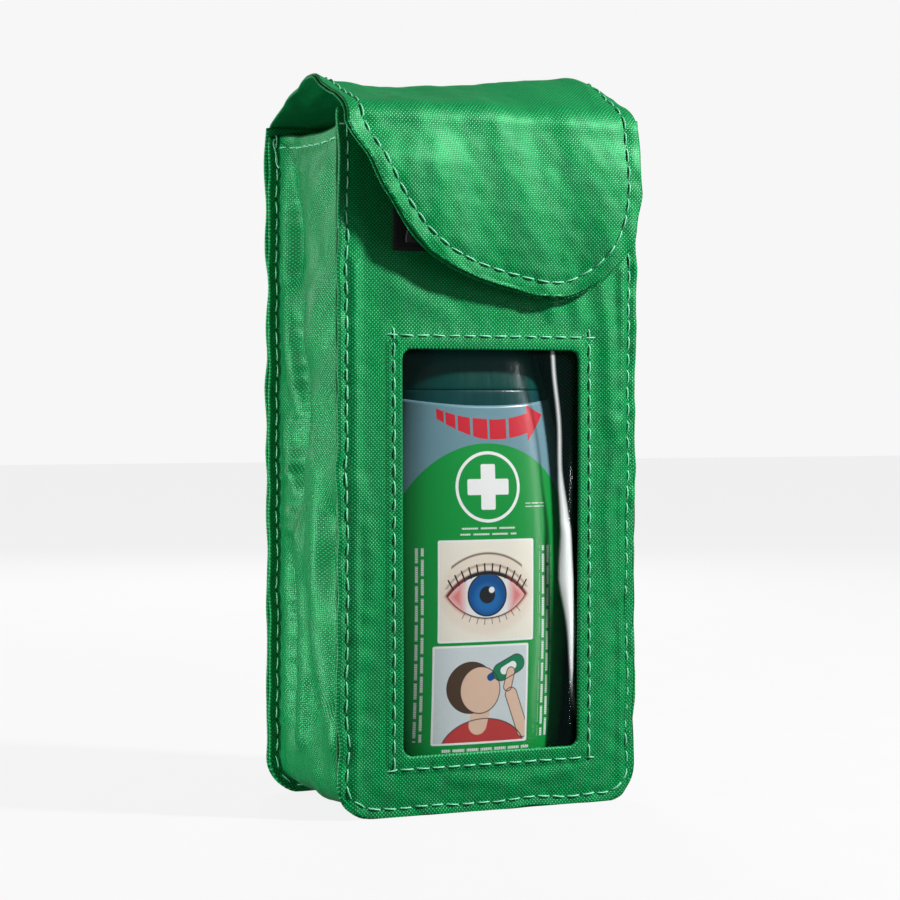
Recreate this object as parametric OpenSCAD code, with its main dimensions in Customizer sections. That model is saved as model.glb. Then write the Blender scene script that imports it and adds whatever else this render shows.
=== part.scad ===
// Eyewash station: a sewn belt pouch with a clear window and a lift-up flap, which holds a
// twist-top eyewash bottle with an eye cup under its cap, and hangs on a belt by a press-stud strap.
// Millimetres, +Z up, front towards -Y. The origin is on the ground under the middle of the object.

/* [Pouch] */
// Height of the front and back panels
body_h = 200; // [165:1:240]
// Width of the panels over their seam flanges
body_w = 95; // [79:1:115]
// Depth over the outer faces of the two panels
body_d = 57; // [47:1:70]
// Thickness of a panel
panel_t = 1.2; // [0.6:0.1:1.4]
// Thickness of the side gusset
gusset_t = 1.2; // [0.6:0.1:1.6]
// Width of the outside seam flange around the panels
flange_w = 3.2; // [2:0.1:5]
// Radius of the bottom corners of the panels
corner_r = 11; // [6:0.5:16]
// Distance from the mouth down to the top of the gusset
gusset_drop = 3; // [1:0.5:6]
// Height of the folded hem at the top of the gusset
hem_h = 9; // [5:1:14]
// Thickness of the folded hem at the top of the gusset
hem_t = 0.8; // [0.4:0.1:1.2]

/* [Window] */
// Width of the window
window_w = 56; // [46:1:68]
// Distance from the ground up to the window
window_base = 17; // [14:1:24]
// Distance from the mouth down to the window
window_drop = 67; // [58:1:80]
// Radius of the corners of the window
window_r = 3; // [1:0.5:6]
// Thickness of the window film
film_t = 0.3; // [0.2:0.05:0.5]
// Width of the film sewn behind the window's edge
film_lap = 6; // [4:0.5:8]

/* [Flap] */
// Width of the flap
flap_w = 93; // [76:1:96]
// Thickness of each of the two plies of the flap
ply_t = 0.8; // [0.4:0.1:1]
// Length that the flap hangs down the front below its bend
flap_hang = 47; // [42:1:56]
// Length of the rounded end of the flap
flap_round = 38; // [30:1:42]
// Distance from the back of the pouch forward to the flap's ridge
ridge_y = 32; // [26:1:36]
// Clearance between the flap's sewn edge and the back panel
flap_gap = 0.3; // [0.2:0.1:0.6]
// Width of the hook patch on the front panel
patch_w = 62; // [50:1:70]
// Height of the hook patch on the front panel
patch_h = 25; // [20:1:27]
// Distance from the mouth down to the hook patch
patch_drop = 14; // [12:1:18]
// Thickness of each half of the hook-and-loop closure
patch_t = 1; // [0.6:0.1:1.4]
// Amount that the loop patch is smaller than the hook patch on each side
patch_inset = 2; // [1:0.5:4]
// Clearance between the two closed halves of the closure
closure_gap = 0.3; // [0.2:0.1:0.5]

/* [Belt strap] */
// Width of the belt strap
strap_w = 38; // [30:1:46]
// Thickness of the belt strap
strap_t = 1.8; // [1.2:0.1:2.4]
// Depth of the belt tunnel behind the pouch
tunnel_d = 6.5; // [5:0.5:9]
// Height of the belt tunnel
tunnel_h = 60; // [50:1:70]
// Distance from the mouth down to the patch that anchors the strap
anchor_drop = 28; // [26:1:34]
// Height of the patch that anchors the strap
anchor_h = 14; // [10:1:18]
// Thickness of the anchor patch and of the stud's patch
tab_t = 1.5; // [1:0.1:2]
// Radius of the press stud's cap
snap_r = 7.5; // [6:0.5:9]
// Radius of the press stud's male head
stud_r = 3.2; // [2.6:0.1:3.8]
// Radius of the press stud's rivet shanks
shank_r = 1.5; // [1:0.1:2]
// Clearance between parts that slide or turn on each other
run_gap = 0.06; // [0.03:0.01:0.1]

/* [Bottle] */
// Height of the bottle with its cap
bottle_h = 161; // [145:1:190]
// Greatest width of the bottle
bottle_w = 66; // [58:0.5:68]
// Greatest depth of the bottle
bottle_d = 46; // [40:0.5:47]
// Height at which the bottle is widest
belly_h = 61; // [50:1:70]
// Height of the joint between the bottle and its cap
joint_h = 116.5; // [108:0.5:120]
// Wall of the bottle and of the cap
bottle_wall = 1.4; // [1:0.1:1.8]
// Clearance between the bottle and the pouch's window and base
bottle_gap = 0.5; // [0.3:0.1:1]
// Clearance between the bottle and the edge of its cap
joint_gap = 0.3; // [0.2:0.1:0.5]
// Radius of the round boss that the cap turns on
boss_r = 16.5; // [15.5:0.1:17]
// Height of the round boss that the cap turns on
boss_h = 3.5; // [3:0.5:5]
// Outer radius of the neck
neck_r = 11.6; // [11:0.1:12.5]
// Height of the neck above the joint
neck_h = 7; // [6:0.5:9]
// Outer radius of the eye cup's rim
cup_r = 13.8; // [13:0.1:14]
// Height of the eye cup's bowl
cup_h = 11; // [10:0.5:14]
// Number of spray holes around the nozzle
spray_holes = 6; // [4:1:10]

/* [Labels] */
// Width of the front label
label_w = 55.5; // [44:0.5:57]
// Height of the front label's lower edge above the bottle's base
label_base = 8; // [6:1:14]
// Distance from the joint down to the middle of the front label's hollow top edge
label_drop = 4.5; // [4:0.5:8]
// Depth of the hollow in the front label's top edge
label_dip = 2.5; // [0:0.5:3]
// Share of the bottle's width that the label may cover where the bottle narrows
label_wrap = 0.93; // [0.8:0.01:0.95]
// Width of the back label
back_label_w = 50; // [40:1:54]
// Height of the back label
back_label_h = 79; // [60:1:85]
// Thickness of a label
label_t = 0.15; // [0.1:0.05:0.25]

/* [Hidden] */
$fn = 48;

fabric_green = [0.06, 0.55, 0.28];
lining_green = [0.05, 0.46, 0.24];
hook_black = [0.05, 0.05, 0.06];
steel = [0.75, 0.76, 0.78];
petrol = [0.04, 0.25, 0.26];
mist = [0.55, 0.67, 0.72];

// Press stud, as a stack outwards from the stud's patch.
stud_base_t = 0.8;
stud_base_r = stud_r + 2.4;
socket_t = 2.2;
socket_lift = stud_base_t + closure_gap;
snap_dome_t = 1.6;
rivet_head_t = 0.9;
rivet_head_r = shank_r + 3;
stud_margin = 11;

// How far the object stands out in front of and behind the panels' outer faces.
flap_seat = 2 * patch_t + closure_gap + ply_t;
front_proud = flap_seat + ply_t;
snap_proud = tab_t + socket_lift + socket_t + strap_t + snap_dome_t;
back_proud = max(tunnel_d + strap_t, snap_proud);

// Outer faces of the panels, set so that the whole object is centred on Y.
shift_y = (front_proud - back_proud) / 2;
front_y = shift_y - body_d / 2;
back_y = shift_y + body_d / 2;
film_y = front_y + panel_t;

// Bottle: its axis and its base.
label_lift = 0.08;
bottle_y = film_y + film_t + bottle_gap + bottle_d / 2;
bottle_z = flange_w + gusset_t + bottle_gap;
section_power = 2.6;
base_round = 6;
top_round = 8;
tip_w = 0.28;
tip_d = 0.40;

// Window opening.
window_top = body_h - window_drop;

// Flap: a rising run, a ridge, a falling run, a bend over the front edge and the hanging end.
rise_a = 20;
fall_a = 24;
ridge_r = 14;
bend_r = 7;
flap_start_z = body_h + 1.1;
flap_reach = body_d + flap_seat;
// The ridge keeps its share of the depth; ridge_y is its place on a pouch 57 deep.
ridge_reach = ridge_y * body_d / 57;
rise_len = (ridge_reach - ridge_r * sin(rise_a)) / cos(rise_a);
fall_len = (flap_reach - ridge_reach - ridge_r * sin(fall_a) - bend_r * (1 - sin(fall_a))) / cos(fall_a);

// Belt strap: heights of its sewn end, its tunnel and its stud.
anchor_top = body_h - anchor_drop;
strap_top = anchor_top - anchor_h - flap_gap;
tunnel_top = strap_top - 8;
tunnel_base = tunnel_top - tunnel_h;
stud_z = tunnel_base - 8 - stud_margin;

// Extrudes a flat shape, drawn in X and Z, from y to y + t.
module plate(y, t) {
    translate([0, y + t, 0]) rotate([90, 0, 0]) linear_extrude(t) children();
}

// Turns a round shape, drawn about Z, so that it points along +Y from the given place.
module facing_back(y, z) {
    translate([0, y, z]) rotate([-90, 0, 0]) children();
}

// Outline of a panel: square at the top, with round bottom corners.
module panel_outline(inset, top) {
    w = body_w - 2 * inset;
    r = max(corner_r - inset, 1);
    translate([-w / 2, inset + r]) square([w, top - inset - r]);
    translate([-w / 2 + r, inset]) square([w - 2 * r, r + 1]);
    for (side = [-1, 1]) translate([side * (w / 2 - r), inset + r]) circle(r);
}

module round_rect(w, low, high, r) {
    translate([-w / 2 + r, low]) square([w - 2 * r, high - low]);
    translate([-w / 2, low + r]) square([w, high - low - 2 * r]);
    for (x = [-1, 1]) for (z = [low + r, high - r]) translate([x * (w / 2 - r), z]) circle(r);
}

// ---- Pouch ----

module front_panel() {
    color(fabric_green) plate(front_y, panel_t) difference() {
        panel_outline(0, body_h);
        round_rect(window_w, window_base, window_top, window_r);
    }
}

module back_panel() {
    color(fabric_green) difference() {
        plate(back_y - panel_t, panel_t) panel_outline(0, body_h);
        facing_back(back_y - 2 * panel_t, stud_z) cylinder(h = 3 * panel_t, r = shank_r + run_gap);
    }
}

// The part of the gusset's outline between two insets, open at the mouth.
module gusset_ring(inner) {
    difference() {
        panel_outline(flange_w * (inner ? 1 : 0), body_h - gusset_drop);
        panel_outline(flange_w + gusset_t, body_h);
    }
}

module side_gusset() {
    color(fabric_green) {
        plate(front_y + panel_t, body_d - 2 * panel_t) gusset_ring(true);
        plate(front_y + panel_t, gusset_t) gusset_ring(false);
        plate(back_y - panel_t - gusset_t, gusset_t) gusset_ring(false);
    }
}

module gusset_hems() {
    inner_x = body_w / 2 - flange_w - gusset_t;
    depth = body_d - 2 * (panel_t + gusset_t) - 2;
    color(lining_green) for (side = [-1, 1])
        translate([side * (inner_x - hem_t / 2), shift_y, body_h - gusset_drop - hem_h / 2])
            cube([hem_t, depth, hem_h], center = true);
}

module window_film() {
    color([0.8, 0.9, 0.95, 0.3]) plate(film_y, film_t)
        round_rect(window_w + 2 * film_lap, window_base - film_lap, window_top + film_lap, window_r);
}

module closure_hook_patch() {
    color(hook_black) plate(front_y - patch_t, patch_t)
        translate([-patch_w / 2, body_h - patch_drop - patch_h]) square([patch_w, patch_h]);
}

// ---- Flap ----

// Points on the flap's middle line as [reach forward, height, heading], with the heading in degrees.
function run_end(p, len) = [p[0] + len * cos(p[2]), p[1] + len * sin(p[2]), p[2]];
function turn(p, r, a) =
    [p[0] + r * (sin(p[2]) - sin(p[2] - a)), p[1] + r * (cos(p[2] - a) - cos(p[2])), p[2] - a];
function arc_row(p, r, a, n) = [for (i = [0:n]) turn(p, r, a * i / n)];

flap_p0 = [0, flap_start_z, rise_a];
flap_p1 = run_end(flap_p0, rise_len);
flap_ridge = arc_row(flap_p1, ridge_r, rise_a + fall_a, 6);
flap_p2 = run_end(flap_ridge[6], fall_len);
flap_bend = arc_row(flap_p2, bend_r, 90 - fall_a, 8);
flap_drop = flap_bend[8];

// Rows of the flap as [reach, height, heading, half width]; the end is half an ellipse.
round_steps = 14;
flap_rows = concat(
    [for (p = concat([flap_p0], flap_ridge, flap_bend)) [p[0], p[1], p[2], flap_w / 2]],
    [for (i = [0:round_steps]) let (a = 85 * i / round_steps)
        [flap_drop[0], flap_drop[1] - (flap_hang - flap_round) - flap_round * sin(a),
         -90, flap_w / 2 * cos(a)]]);

// One corner of a row, moved off the middle line by d towards the outside.
function flap_point(row, side, d) =
    [side * row[3], back_y - row[0] + d * sin(row[2]), row[1] + d * cos(row[2])];

// A ply of the flap between two distances from its middle line.
module flap_ply(low, high) {
    n = len(flap_rows);
    points = [for (row = flap_rows) each [flap_point(row, -1, low), flap_point(row, 1, low),
                                          flap_point(row, 1, high), flap_point(row, -1, high)]];
    sides = [for (i = [0:n - 2]) for (k = [0:3]) each
        [[4 * i + k, 4 * i + 4 + k, 4 * i + 4 + (k + 1) % 4],
         [4 * i + k, 4 * i + 4 + (k + 1) % 4, 4 * i + (k + 1) % 4]]];
    last = 4 * (n - 1);
    ends = [[0, 1, 2], [0, 2, 3], [last, last + 2, last + 1], [last, last + 3, last + 2]];
    polyhedron(points, concat(sides, ends));
}

module flap_outer() { color(fabric_green) flap_ply(0, ply_t); }

module flap_lining() { color(lining_green) flap_ply(-ply_t, 0); }

module closure_loop_patch() {
    low = body_h - patch_drop - patch_h + patch_inset;
    color(hook_black) plate(front_y - closure_gap - 2 * patch_t, patch_t)
        translate([-patch_w / 2 + patch_inset, low])
            square([patch_w - 2 * patch_inset, patch_h - 2 * patch_inset]);
}

// ---- Belt strap and press stud ----

module strap_anchor() {
    color(fabric_green) plate(back_y, tab_t)
        translate([-strap_w / 2 - 3, anchor_top - anchor_h]) square([strap_w + 6, anchor_h]);
}

module stud_patch() {
    color(fabric_green) difference() {
        plate(back_y, tab_t) round_rect(strap_w, stud_z - stud_margin, stud_z + stud_margin, 3);
        facing_back(back_y - 1, stud_z) cylinder(h = tab_t + 2, r = shank_r + run_gap);
    }
}

module snap_stud() {
    color(steel) facing_back(back_y + tab_t, stud_z) difference() {
        union() {
            cylinder(h = stud_base_t, r = stud_base_r);
            cylinder(h = socket_lift + socket_t - 0.4, r = stud_r);
        }
        translate([0, 0, -1]) cylinder(h = 3, r = shank_r + run_gap);
    }
}

module snap_rivet() {
    color(steel) facing_back(back_y - panel_t - rivet_head_t, stud_z) {
        cylinder(h = rivet_head_t, r = rivet_head_r);
        cylinder(h = rivet_head_t + panel_t + tab_t + 1.8, r = shank_r);
    }
}

// Side outline of the strap: its inner line, and the same line moved out by its thickness.
strap_line = [[flap_gap, strap_top], [tunnel_d, tunnel_top], [tunnel_d, tunnel_base],
              [tab_t + socket_lift + socket_t, stud_z + stud_margin - 2],
              [tab_t + socket_lift + socket_t, stud_z - stud_margin]];

module belt_strap() {
    outline = concat(strap_line,
        [for (i = [4:-1:0]) [strap_line[i][0] + strap_t, strap_line[i][1]]]);
    color(fabric_green) difference() {
        translate([-strap_w / 2, back_y, 0]) rotate([90, 0, 90]) linear_extrude(strap_w)
            polygon(outline);
        facing_back(back_y, stud_z) cylinder(h = back_proud + 2, r = shank_r + run_gap);
    }
}

module snap_socket() {
    color(steel) facing_back(back_y + tab_t + socket_lift, stud_z) difference() {
        cylinder(h = socket_t, r = stud_base_r);
        translate([0, 0, -1]) cylinder(h = socket_t + 2, r = stud_r + 2 * run_gap);
    }
}

module snap_cap() {
    seat = tab_t + socket_lift + socket_t;
    color(steel) {
        facing_back(back_y + seat + strap_t, stud_z) rotate_extrude() intersection() {
            translate([0, snap_dome_t - 2 * snap_r]) circle(2 * snap_r, $fn = 96);
            square([snap_r, snap_dome_t]);
        }
        facing_back(back_y + seat, stud_z) cylinder(h = strap_t + 0.2, r = shank_r);
    }
}

// ---- Bottle ----

// Half width and half depth of the bottle at height z above its base, before its edges are rounded.
function above_belly(z) = max(z - belly_h, 0) / (bottle_h - belly_h);
function below_belly(z) = max(belly_h - z, 0) / belly_h;
function swell_w(z) = 1 - 0.12 * pow(below_belly(z), 2) - (1 - tip_w) * pow(above_belly(z), 2.2);
function swell_d(z) = 1 - 0.12 * pow(below_belly(z), 2) - (1 - tip_d) * pow(above_belly(z), 2.6);
function edge_cut(d, r) = d < r ? r - sqrt(r * r - (r - d) * (r - d)) : 0;
function edges(z) = edge_cut(z, base_round) + edge_cut(bottle_h - z, top_round);
function half_w(z, off) = bottle_w / 2 * swell_w(z) - edges(z) + off;
function half_d(z, off) = bottle_d / 2 * swell_d(z) - edges(z) + off;
function powered(v, p) = sign(v) * pow(abs(v), p);

ring_n = 44;
function ring(z, off) = [for (i = [0:ring_n - 1]) let (a = 360 * i / ring_n)
    [half_w(z, off) * powered(cos(a), 2 / section_power),
     half_d(z, off) * powered(sin(a), 2 / section_power), z]];

// A closed solid through the bottle's sections at the given heights.
module bottle_loft(heights, off) {
    n = len(heights);
    points = [for (z = heights) each ring(z, off)];
    sides = [for (i = [0:n - 2]) for (k = [0:ring_n - 1]) let (j = (k + 1) % ring_n) each
        [[i * ring_n + k, (i + 1) * ring_n + j, i * ring_n + j],
         [i * ring_n + k, (i + 1) * ring_n + k, (i + 1) * ring_n + j]]];
    floor_face = [[for (k = [0:ring_n - 1]) k]];
    roof_face = [[for (k = [ring_n - 1:-1:0]) (n - 1) * ring_n + k]];
    polyhedron(points, concat(sides, floor_face, roof_face));
}

function steps(low, high, n) = [for (i = [0:n]) low + (high - low) * i / n];
function edge_heights(r, n) = [for (i = [0:n - 1]) r * (1 - cos(90 * i / n))];

base_heights = edge_heights(base_round, 4);
body_heights = concat(base_heights, steps(base_round, joint_h, 12));
tip_heights = [for (i = [4:-1:1]) bottle_h - top_round * (1 - cos(90 * i / 5))];
cap_heights = concat(steps(joint_h + joint_gap, bottle_h - top_round, 8), tip_heights,
                     [bottle_h - 0.05]);

module at_bottle() { translate([0, bottle_y, bottle_z]) children(); }

module bottle_body() {
    inner_heights = concat([bottle_wall, base_round], steps(base_round + 8, joint_h - bottle_wall, 10));
    color(mist) at_bottle() difference() {
        union() {
            bottle_loft(body_heights, 0);
            translate([0, 0, joint_h]) cylinder(h = boss_h, r = boss_r);
            translate([0, 0, joint_h]) cylinder(h = neck_h, r = neck_r);
        }
        bottle_loft(inner_heights, -bottle_wall);
        translate([0, 0, joint_h - 2 * bottle_wall])
            cylinder(h = neck_h + 3 * bottle_wall, r = neck_r - bottle_wall);
    }
}

module saline_fill() {
    top = joint_h - bottle_wall - 3.5;
    heights = concat([bottle_wall + run_gap, base_round], steps(base_round + 8, top, 9));
    color([0.8, 0.93, 0.95]) at_bottle() bottle_loft(heights, -bottle_wall - 2 * run_gap);
}

// Depth of the bottle's surface, moved off by a lift, at x across and z up.
function surface_y(x, z, lift) =
    half_d(z, lift) * pow(max(1 - pow(abs(x) / half_w(z, lift), section_power), 0), 1 / section_power);

// A thin label that follows the bottle: rows are [height, half width, rise at the edges], side is -1
// for the front. Its columns crowd towards the edges, where the bottle curves most.
module label_shell(rows, side) {
    cols = 20;
    n = len(rows);
    per = cols + 1;
    layer = n * per;
    points = [for (lift = [label_lift, label_lift + label_t]) for (row = rows) for (j = [0:cols])
        let (across = sin(90 * (2 * j / cols - 1)), x = row[1] * across, z = row[0] + row[2] * pow(across, 2))
            [x, side * surface_y(x, z, lift), z]];
    cells = [for (i = [0:n - 2]) for (j = [0:cols - 1]) i * per + j];
    skins = [for (c = cells) each
        [[c, c + per, c + per + 1], [c, c + per + 1, c + 1],
         [layer + c, layer + c + per + 1, layer + c + per], [layer + c, layer + c + 1, layer + c + per + 1]]];
    loop = concat([for (j = [0:cols - 1]) j], [for (i = [0:n - 2]) i * per + cols],
                  [for (j = [cols:-1:1]) (n - 1) * per + j], [for (i = [n - 1:-1:1]) i * per]);
    m = len(loop);
    rims = [for (k = [0:m - 1]) let (a = loop[k], b = loop[(k + 1) % m]) each
        [[a, b, layer + b], [a, layer + b, layer + a]]];
    faces = concat(skins, rims);
    polyhedron(points, side < 0 ? faces : [for (f = faces) [f[2], f[1], f[0]]]);
}

module front_label() {
    label_top = joint_h - label_drop;
    span = label_top - label_base;
    rows = [for (z = steps(label_base, label_top, 16))
        [z, min(label_w / 2, label_wrap * half_w(z, 0)), label_dip * (z - label_base) / span]];
    color(fabric_green) at_bottle() label_shell(rows, -1);
}

module back_label() {
    rows = [for (z = steps(label_base, label_base + back_label_h, 10)) [z, back_label_w / 2, 0]];
    color("white") at_bottle() label_shell(rows, 1);
}

// ---- Parts under the cap ----

seal_t = 0.8;
nozzle_flange_t = 1.2;
nozzle_top = joint_h + neck_h + seal_t + nozzle_flange_t;
plug_r = neck_r - bottle_wall - run_gap;
cup_wall = 1.3;
cup_throat_r = 6.5;
cup_skirt_r = neck_r + run_gap;

module neck_seal() {
    color("white") at_bottle() translate([0, 0, joint_h + neck_h]) difference() {
        cylinder(h = seal_t, r = neck_r);
        translate([0, 0, -1]) cylinder(h = seal_t + 2, r = plug_r + run_gap);
    }
}

module spray_nozzle() {
    plug_depth = 5;
    color([0.9, 0.95, 0.97]) at_bottle() translate([0, 0, nozzle_top]) difference() {
        union() {
            translate([0, 0, -nozzle_flange_t]) cylinder(h = nozzle_flange_t, r = neck_r);
            translate([0, 0, -nozzle_flange_t - seal_t - plug_depth])
                cylinder(h = seal_t + plug_depth + 0.1, r = plug_r);
        }
        translate([0, 0, -nozzle_flange_t - seal_t - plug_depth - 1])
            cylinder(h = plug_depth + 1, r = plug_r - 1.2);
        for (i = [0:spray_holes - 1]) rotate([0, 0, 360 * i / spray_holes])
            translate([cup_throat_r - 3, 0, -8]) cylinder(h = 10, r = 0.6, $fn = 16);
        translate([0, 0, -8]) cylinder(h = 10, r = 0.6, $fn = 16);
    }
}

module eye_cup() {
    foot = joint_h + boss_h;
    color([0.85, 0.93, 0.96]) at_bottle() rotate_extrude() polygon(concat(
        [[cup_skirt_r, foot], [cup_skirt_r + cup_wall, foot],
         [cup_skirt_r + cup_wall, nozzle_top + cup_wall]],
        [for (i = [1:8]) [cup_skirt_r + cup_wall + (cup_r - cup_skirt_r - cup_wall) * sin(90 * i / 8),
                          nozzle_top + cup_wall + cup_h * i / 8]],
        [for (i = [8:-1:0]) [cup_throat_r + (cup_r - cup_wall - cup_throat_r) * pow(sin(90 * i / 8), 0.7),
                             nozzle_top + cup_wall + (cup_h - 0.01) * (1 - cos(90 * i / 8))]],
        [[cup_throat_r, nozzle_top], [cup_skirt_r, nozzle_top]]));
}

// ---- Cap ----

collar_t = 2;
collar_bore = boss_r + run_gap;

module cap_shell() {
    floor_z = joint_h + joint_gap + seal_t + collar_t;
    inner_heights = concat(steps(floor_z, bottle_h - top_round, 7), [for (i = [4:-1:2])
        bottle_h - bottle_wall - (top_round - bottle_wall) * (1 - cos(90 * i / 5))]);
    color(petrol) at_bottle() difference() {
        bottle_loft(cap_heights, 0);
        bottle_loft(inner_heights, -bottle_wall);
        translate([0, 0, joint_h]) cylinder(h = boss_h + collar_t, r = collar_bore);
        translate([0, 0, joint_h]) cylinder(h = joint_gap + seal_t, r = boss_r + 1.8);
    }
}

module cap_seal() {
    color("white") at_bottle() translate([0, 0, joint_h + joint_gap]) difference() {
        cylinder(h = seal_t, r = boss_r + 1.8);
        translate([0, 0, -1]) cylinder(h = seal_t + 2, r = collar_bore);
    }
}

front_panel();
back_panel();
side_gusset();
gusset_hems();
window_film();
closure_hook_patch();
strap_anchor();
stud_patch();
snap_stud();
snap_rivet();
flap_outer();
flap_lining();
closure_loop_patch();
bottle_body();
front_label();
back_label();
saline_fill();
neck_seal();
spray_nozzle();
eye_cup();
cap_shell();
cap_seal();
belt_strap();
snap_cap();
snap_socket();
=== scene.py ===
"""Looks of the belt-pouch eyewash station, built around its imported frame.

The pouch, its flap and its belt strap are sewn from coated woven cloth. The bottle stands behind a clear
window. Lengths in this file are millimetres unless a name says metres; meshes are written in metres.
"""
import logging
import math
from dataclasses import dataclass, field
from enum import Enum
from typing import Callable, Sequence

import bmesh
import bpy
import numpy as np
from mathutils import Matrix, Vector


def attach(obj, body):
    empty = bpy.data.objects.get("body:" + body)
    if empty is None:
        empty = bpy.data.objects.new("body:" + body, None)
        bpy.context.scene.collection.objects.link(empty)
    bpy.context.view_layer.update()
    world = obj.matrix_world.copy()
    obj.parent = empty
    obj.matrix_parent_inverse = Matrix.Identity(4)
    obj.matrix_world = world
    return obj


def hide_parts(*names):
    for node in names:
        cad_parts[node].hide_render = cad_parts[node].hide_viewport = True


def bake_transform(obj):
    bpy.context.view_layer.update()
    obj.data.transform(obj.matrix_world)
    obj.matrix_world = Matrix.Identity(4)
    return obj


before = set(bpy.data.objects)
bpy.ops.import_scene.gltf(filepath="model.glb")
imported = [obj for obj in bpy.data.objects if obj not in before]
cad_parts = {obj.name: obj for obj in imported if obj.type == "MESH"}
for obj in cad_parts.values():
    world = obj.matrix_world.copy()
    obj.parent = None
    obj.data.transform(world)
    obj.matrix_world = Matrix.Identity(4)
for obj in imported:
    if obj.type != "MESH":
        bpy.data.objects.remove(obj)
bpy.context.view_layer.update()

LOG = logging.getLogger("eyewash_station")
MM = 0.001
Array = np.ndarray
Triple = tuple[float, float, float]
Colour = Triple
Surface = Callable[[Array], Array]
Piece = bpy.types.Object
Material = bpy.types.Material
Socket = bpy.types.NodeSocket


class TapeFace(Enum):
    """The two halves of a hook-and-loop closure."""

    HOOK = "hook"
    LOOP = "loop"


# ---------------------------------------------------------------- numbers on surfaces


def smooth(t: Array | float) -> Array:
    """Return the soft step of t from 0 to 1."""
    t = np.clip(t, 0.0, 1.0)
    return t * t * (3.0 - 2.0 * t)


def hump(distance: Array, width: float) -> Array:
    """Return a bell that is 1 at no distance and fades over a width."""
    return np.exp(-((distance / width) ** 2))


def ripples(flat: Array, length: float, seed: int, stretch: tuple[float, float] = (1.0, 1.0)) -> Array:
    """Soft random waves over flat cloth.

    Args:
        flat: points on the cloth, one row each.
        length: typical wave length.
        seed: fixed seed of the waves.
        stretch: how much longer the waves are along each flat axis.

    Returns:
        One height for each point, about -1 to 1.
    """
    rng = np.random.default_rng(seed)
    total = np.zeros(len(flat))
    waves = 12
    for _ in range(waves):
        angle = rng.uniform(0.0, 2.0 * math.pi)
        rate = 2.0 * math.pi / (length * rng.uniform(0.7, 1.7))
        way = np.array([math.cos(angle) / stretch[0], math.sin(angle) / stretch[1]]) * rate
        total += np.sin(flat @ way + rng.uniform(0.0, 2.0 * math.pi))
    return total / math.sqrt(waves)


def to_line(flat: Array, line: Array) -> tuple[Array, Array]:
    """Measure points against a line drawn on the cloth.

    Args:
        flat: points on the cloth.
        line: the line's points, in order.

    Returns:
        Each point's distance from the line, and how far along the line its nearest place is.
    """
    best = np.full(len(flat), 1e9)
    along = np.zeros(len(flat))
    start = 0.0
    for a, b in zip(line[:-1], line[1:]):
        step = b - a
        length = float(np.hypot(*step))
        if length < 1e-9:
            continue
        t = np.clip((flat - a) @ step / length**2, 0.0, 1.0)
        away = np.hypot(flat[:, 0] - a[0] - t * step[0], flat[:, 1] - a[1] - t * step[1])
        near = away < best
        best[near] = away[near]
        along[near] = start + t[near] * length
        start += length
    return best, along


def travel(line: Array) -> Array:
    """Return how far along a line each of its points is."""
    return np.concatenate([[0.0], np.cumsum(np.hypot(*np.diff(line, axis=0).T))])


def points_at(line: Array, travelled: Array, places: Array) -> Array:
    """Return the points of a travelled line at places along it."""
    return np.column_stack([np.interp(places, travelled, line[:, k]) for k in range(line.shape[1])])


def resampled(line: Array, step: float) -> Array:
    """Return the line with points at an even step.

    Args:
        line: the line's points, in order.
        step: the step between points.

    Returns:
        The new points, with both ends kept.
    """
    travelled = travel(line)
    places = np.linspace(0.0, travelled[-1], max(int(round(travelled[-1] / step)), 1) + 1)
    return points_at(line, travelled, places)


def softened(line: Sequence[tuple[float, float]], step: float = 0.6, rounds: int = 60) -> Array:
    """Return a polyline at an even step with its corners rubbed round and its ends kept.

    Args:
        line: the line's points, in order.
        step: the step between points.
        rounds: how often the corners are rubbed.

    Returns:
        The softened points.
    """
    points = resampled(np.array(line, float), step)
    for _ in range(rounds):
        points[1:-1] = 0.25 * points[:-2] + 0.5 * points[1:-1] + 0.25 * points[2:]
    return points


def normals_on(surface: Surface, flat: Array, side: float) -> Array:
    """Return the unit normals of a surface at flat points, turned to one side.

    Args:
        surface: the surface, as a function of flat points.
        flat: flat coordinates, one row a point.
        side: 1 or -1: which way is out.

    Returns:
        One unit normal a point.
    """
    reach = 0.25
    across = surface(flat + [reach, 0.0]) - surface(flat - [reach, 0.0])
    along = surface(flat + [0.0, reach]) - surface(flat - [0.0, reach])
    normal = np.cross(across, along) * side
    return normal / np.maximum(np.linalg.norm(normal, axis=1, keepdims=True), 1e-12)


@dataclass(frozen=True)
class Seam:
    """A row of stitches: where it runs on the flat cloth and how it draws the cloth in."""

    line: Array
    pitch: float = 4.9
    pull: float = 0.30
    width: float = 1.4

    def dimple(self, flat: Array) -> Array:
        """Return how far the seam pulls each flat point in.

        Args:
            flat: flat coordinates, one row a point.

        Returns:
            The pull at each point.
        """
        away, along = to_line(flat, self.line)
        rhythm = 0.5 - 0.5 * np.cos(2.0 * math.pi * along / self.pitch)
        return self.pull * hump(away, self.width) * (0.45 + 0.55 * rhythm)


# ---------------------------------------------------------------- meshes


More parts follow.
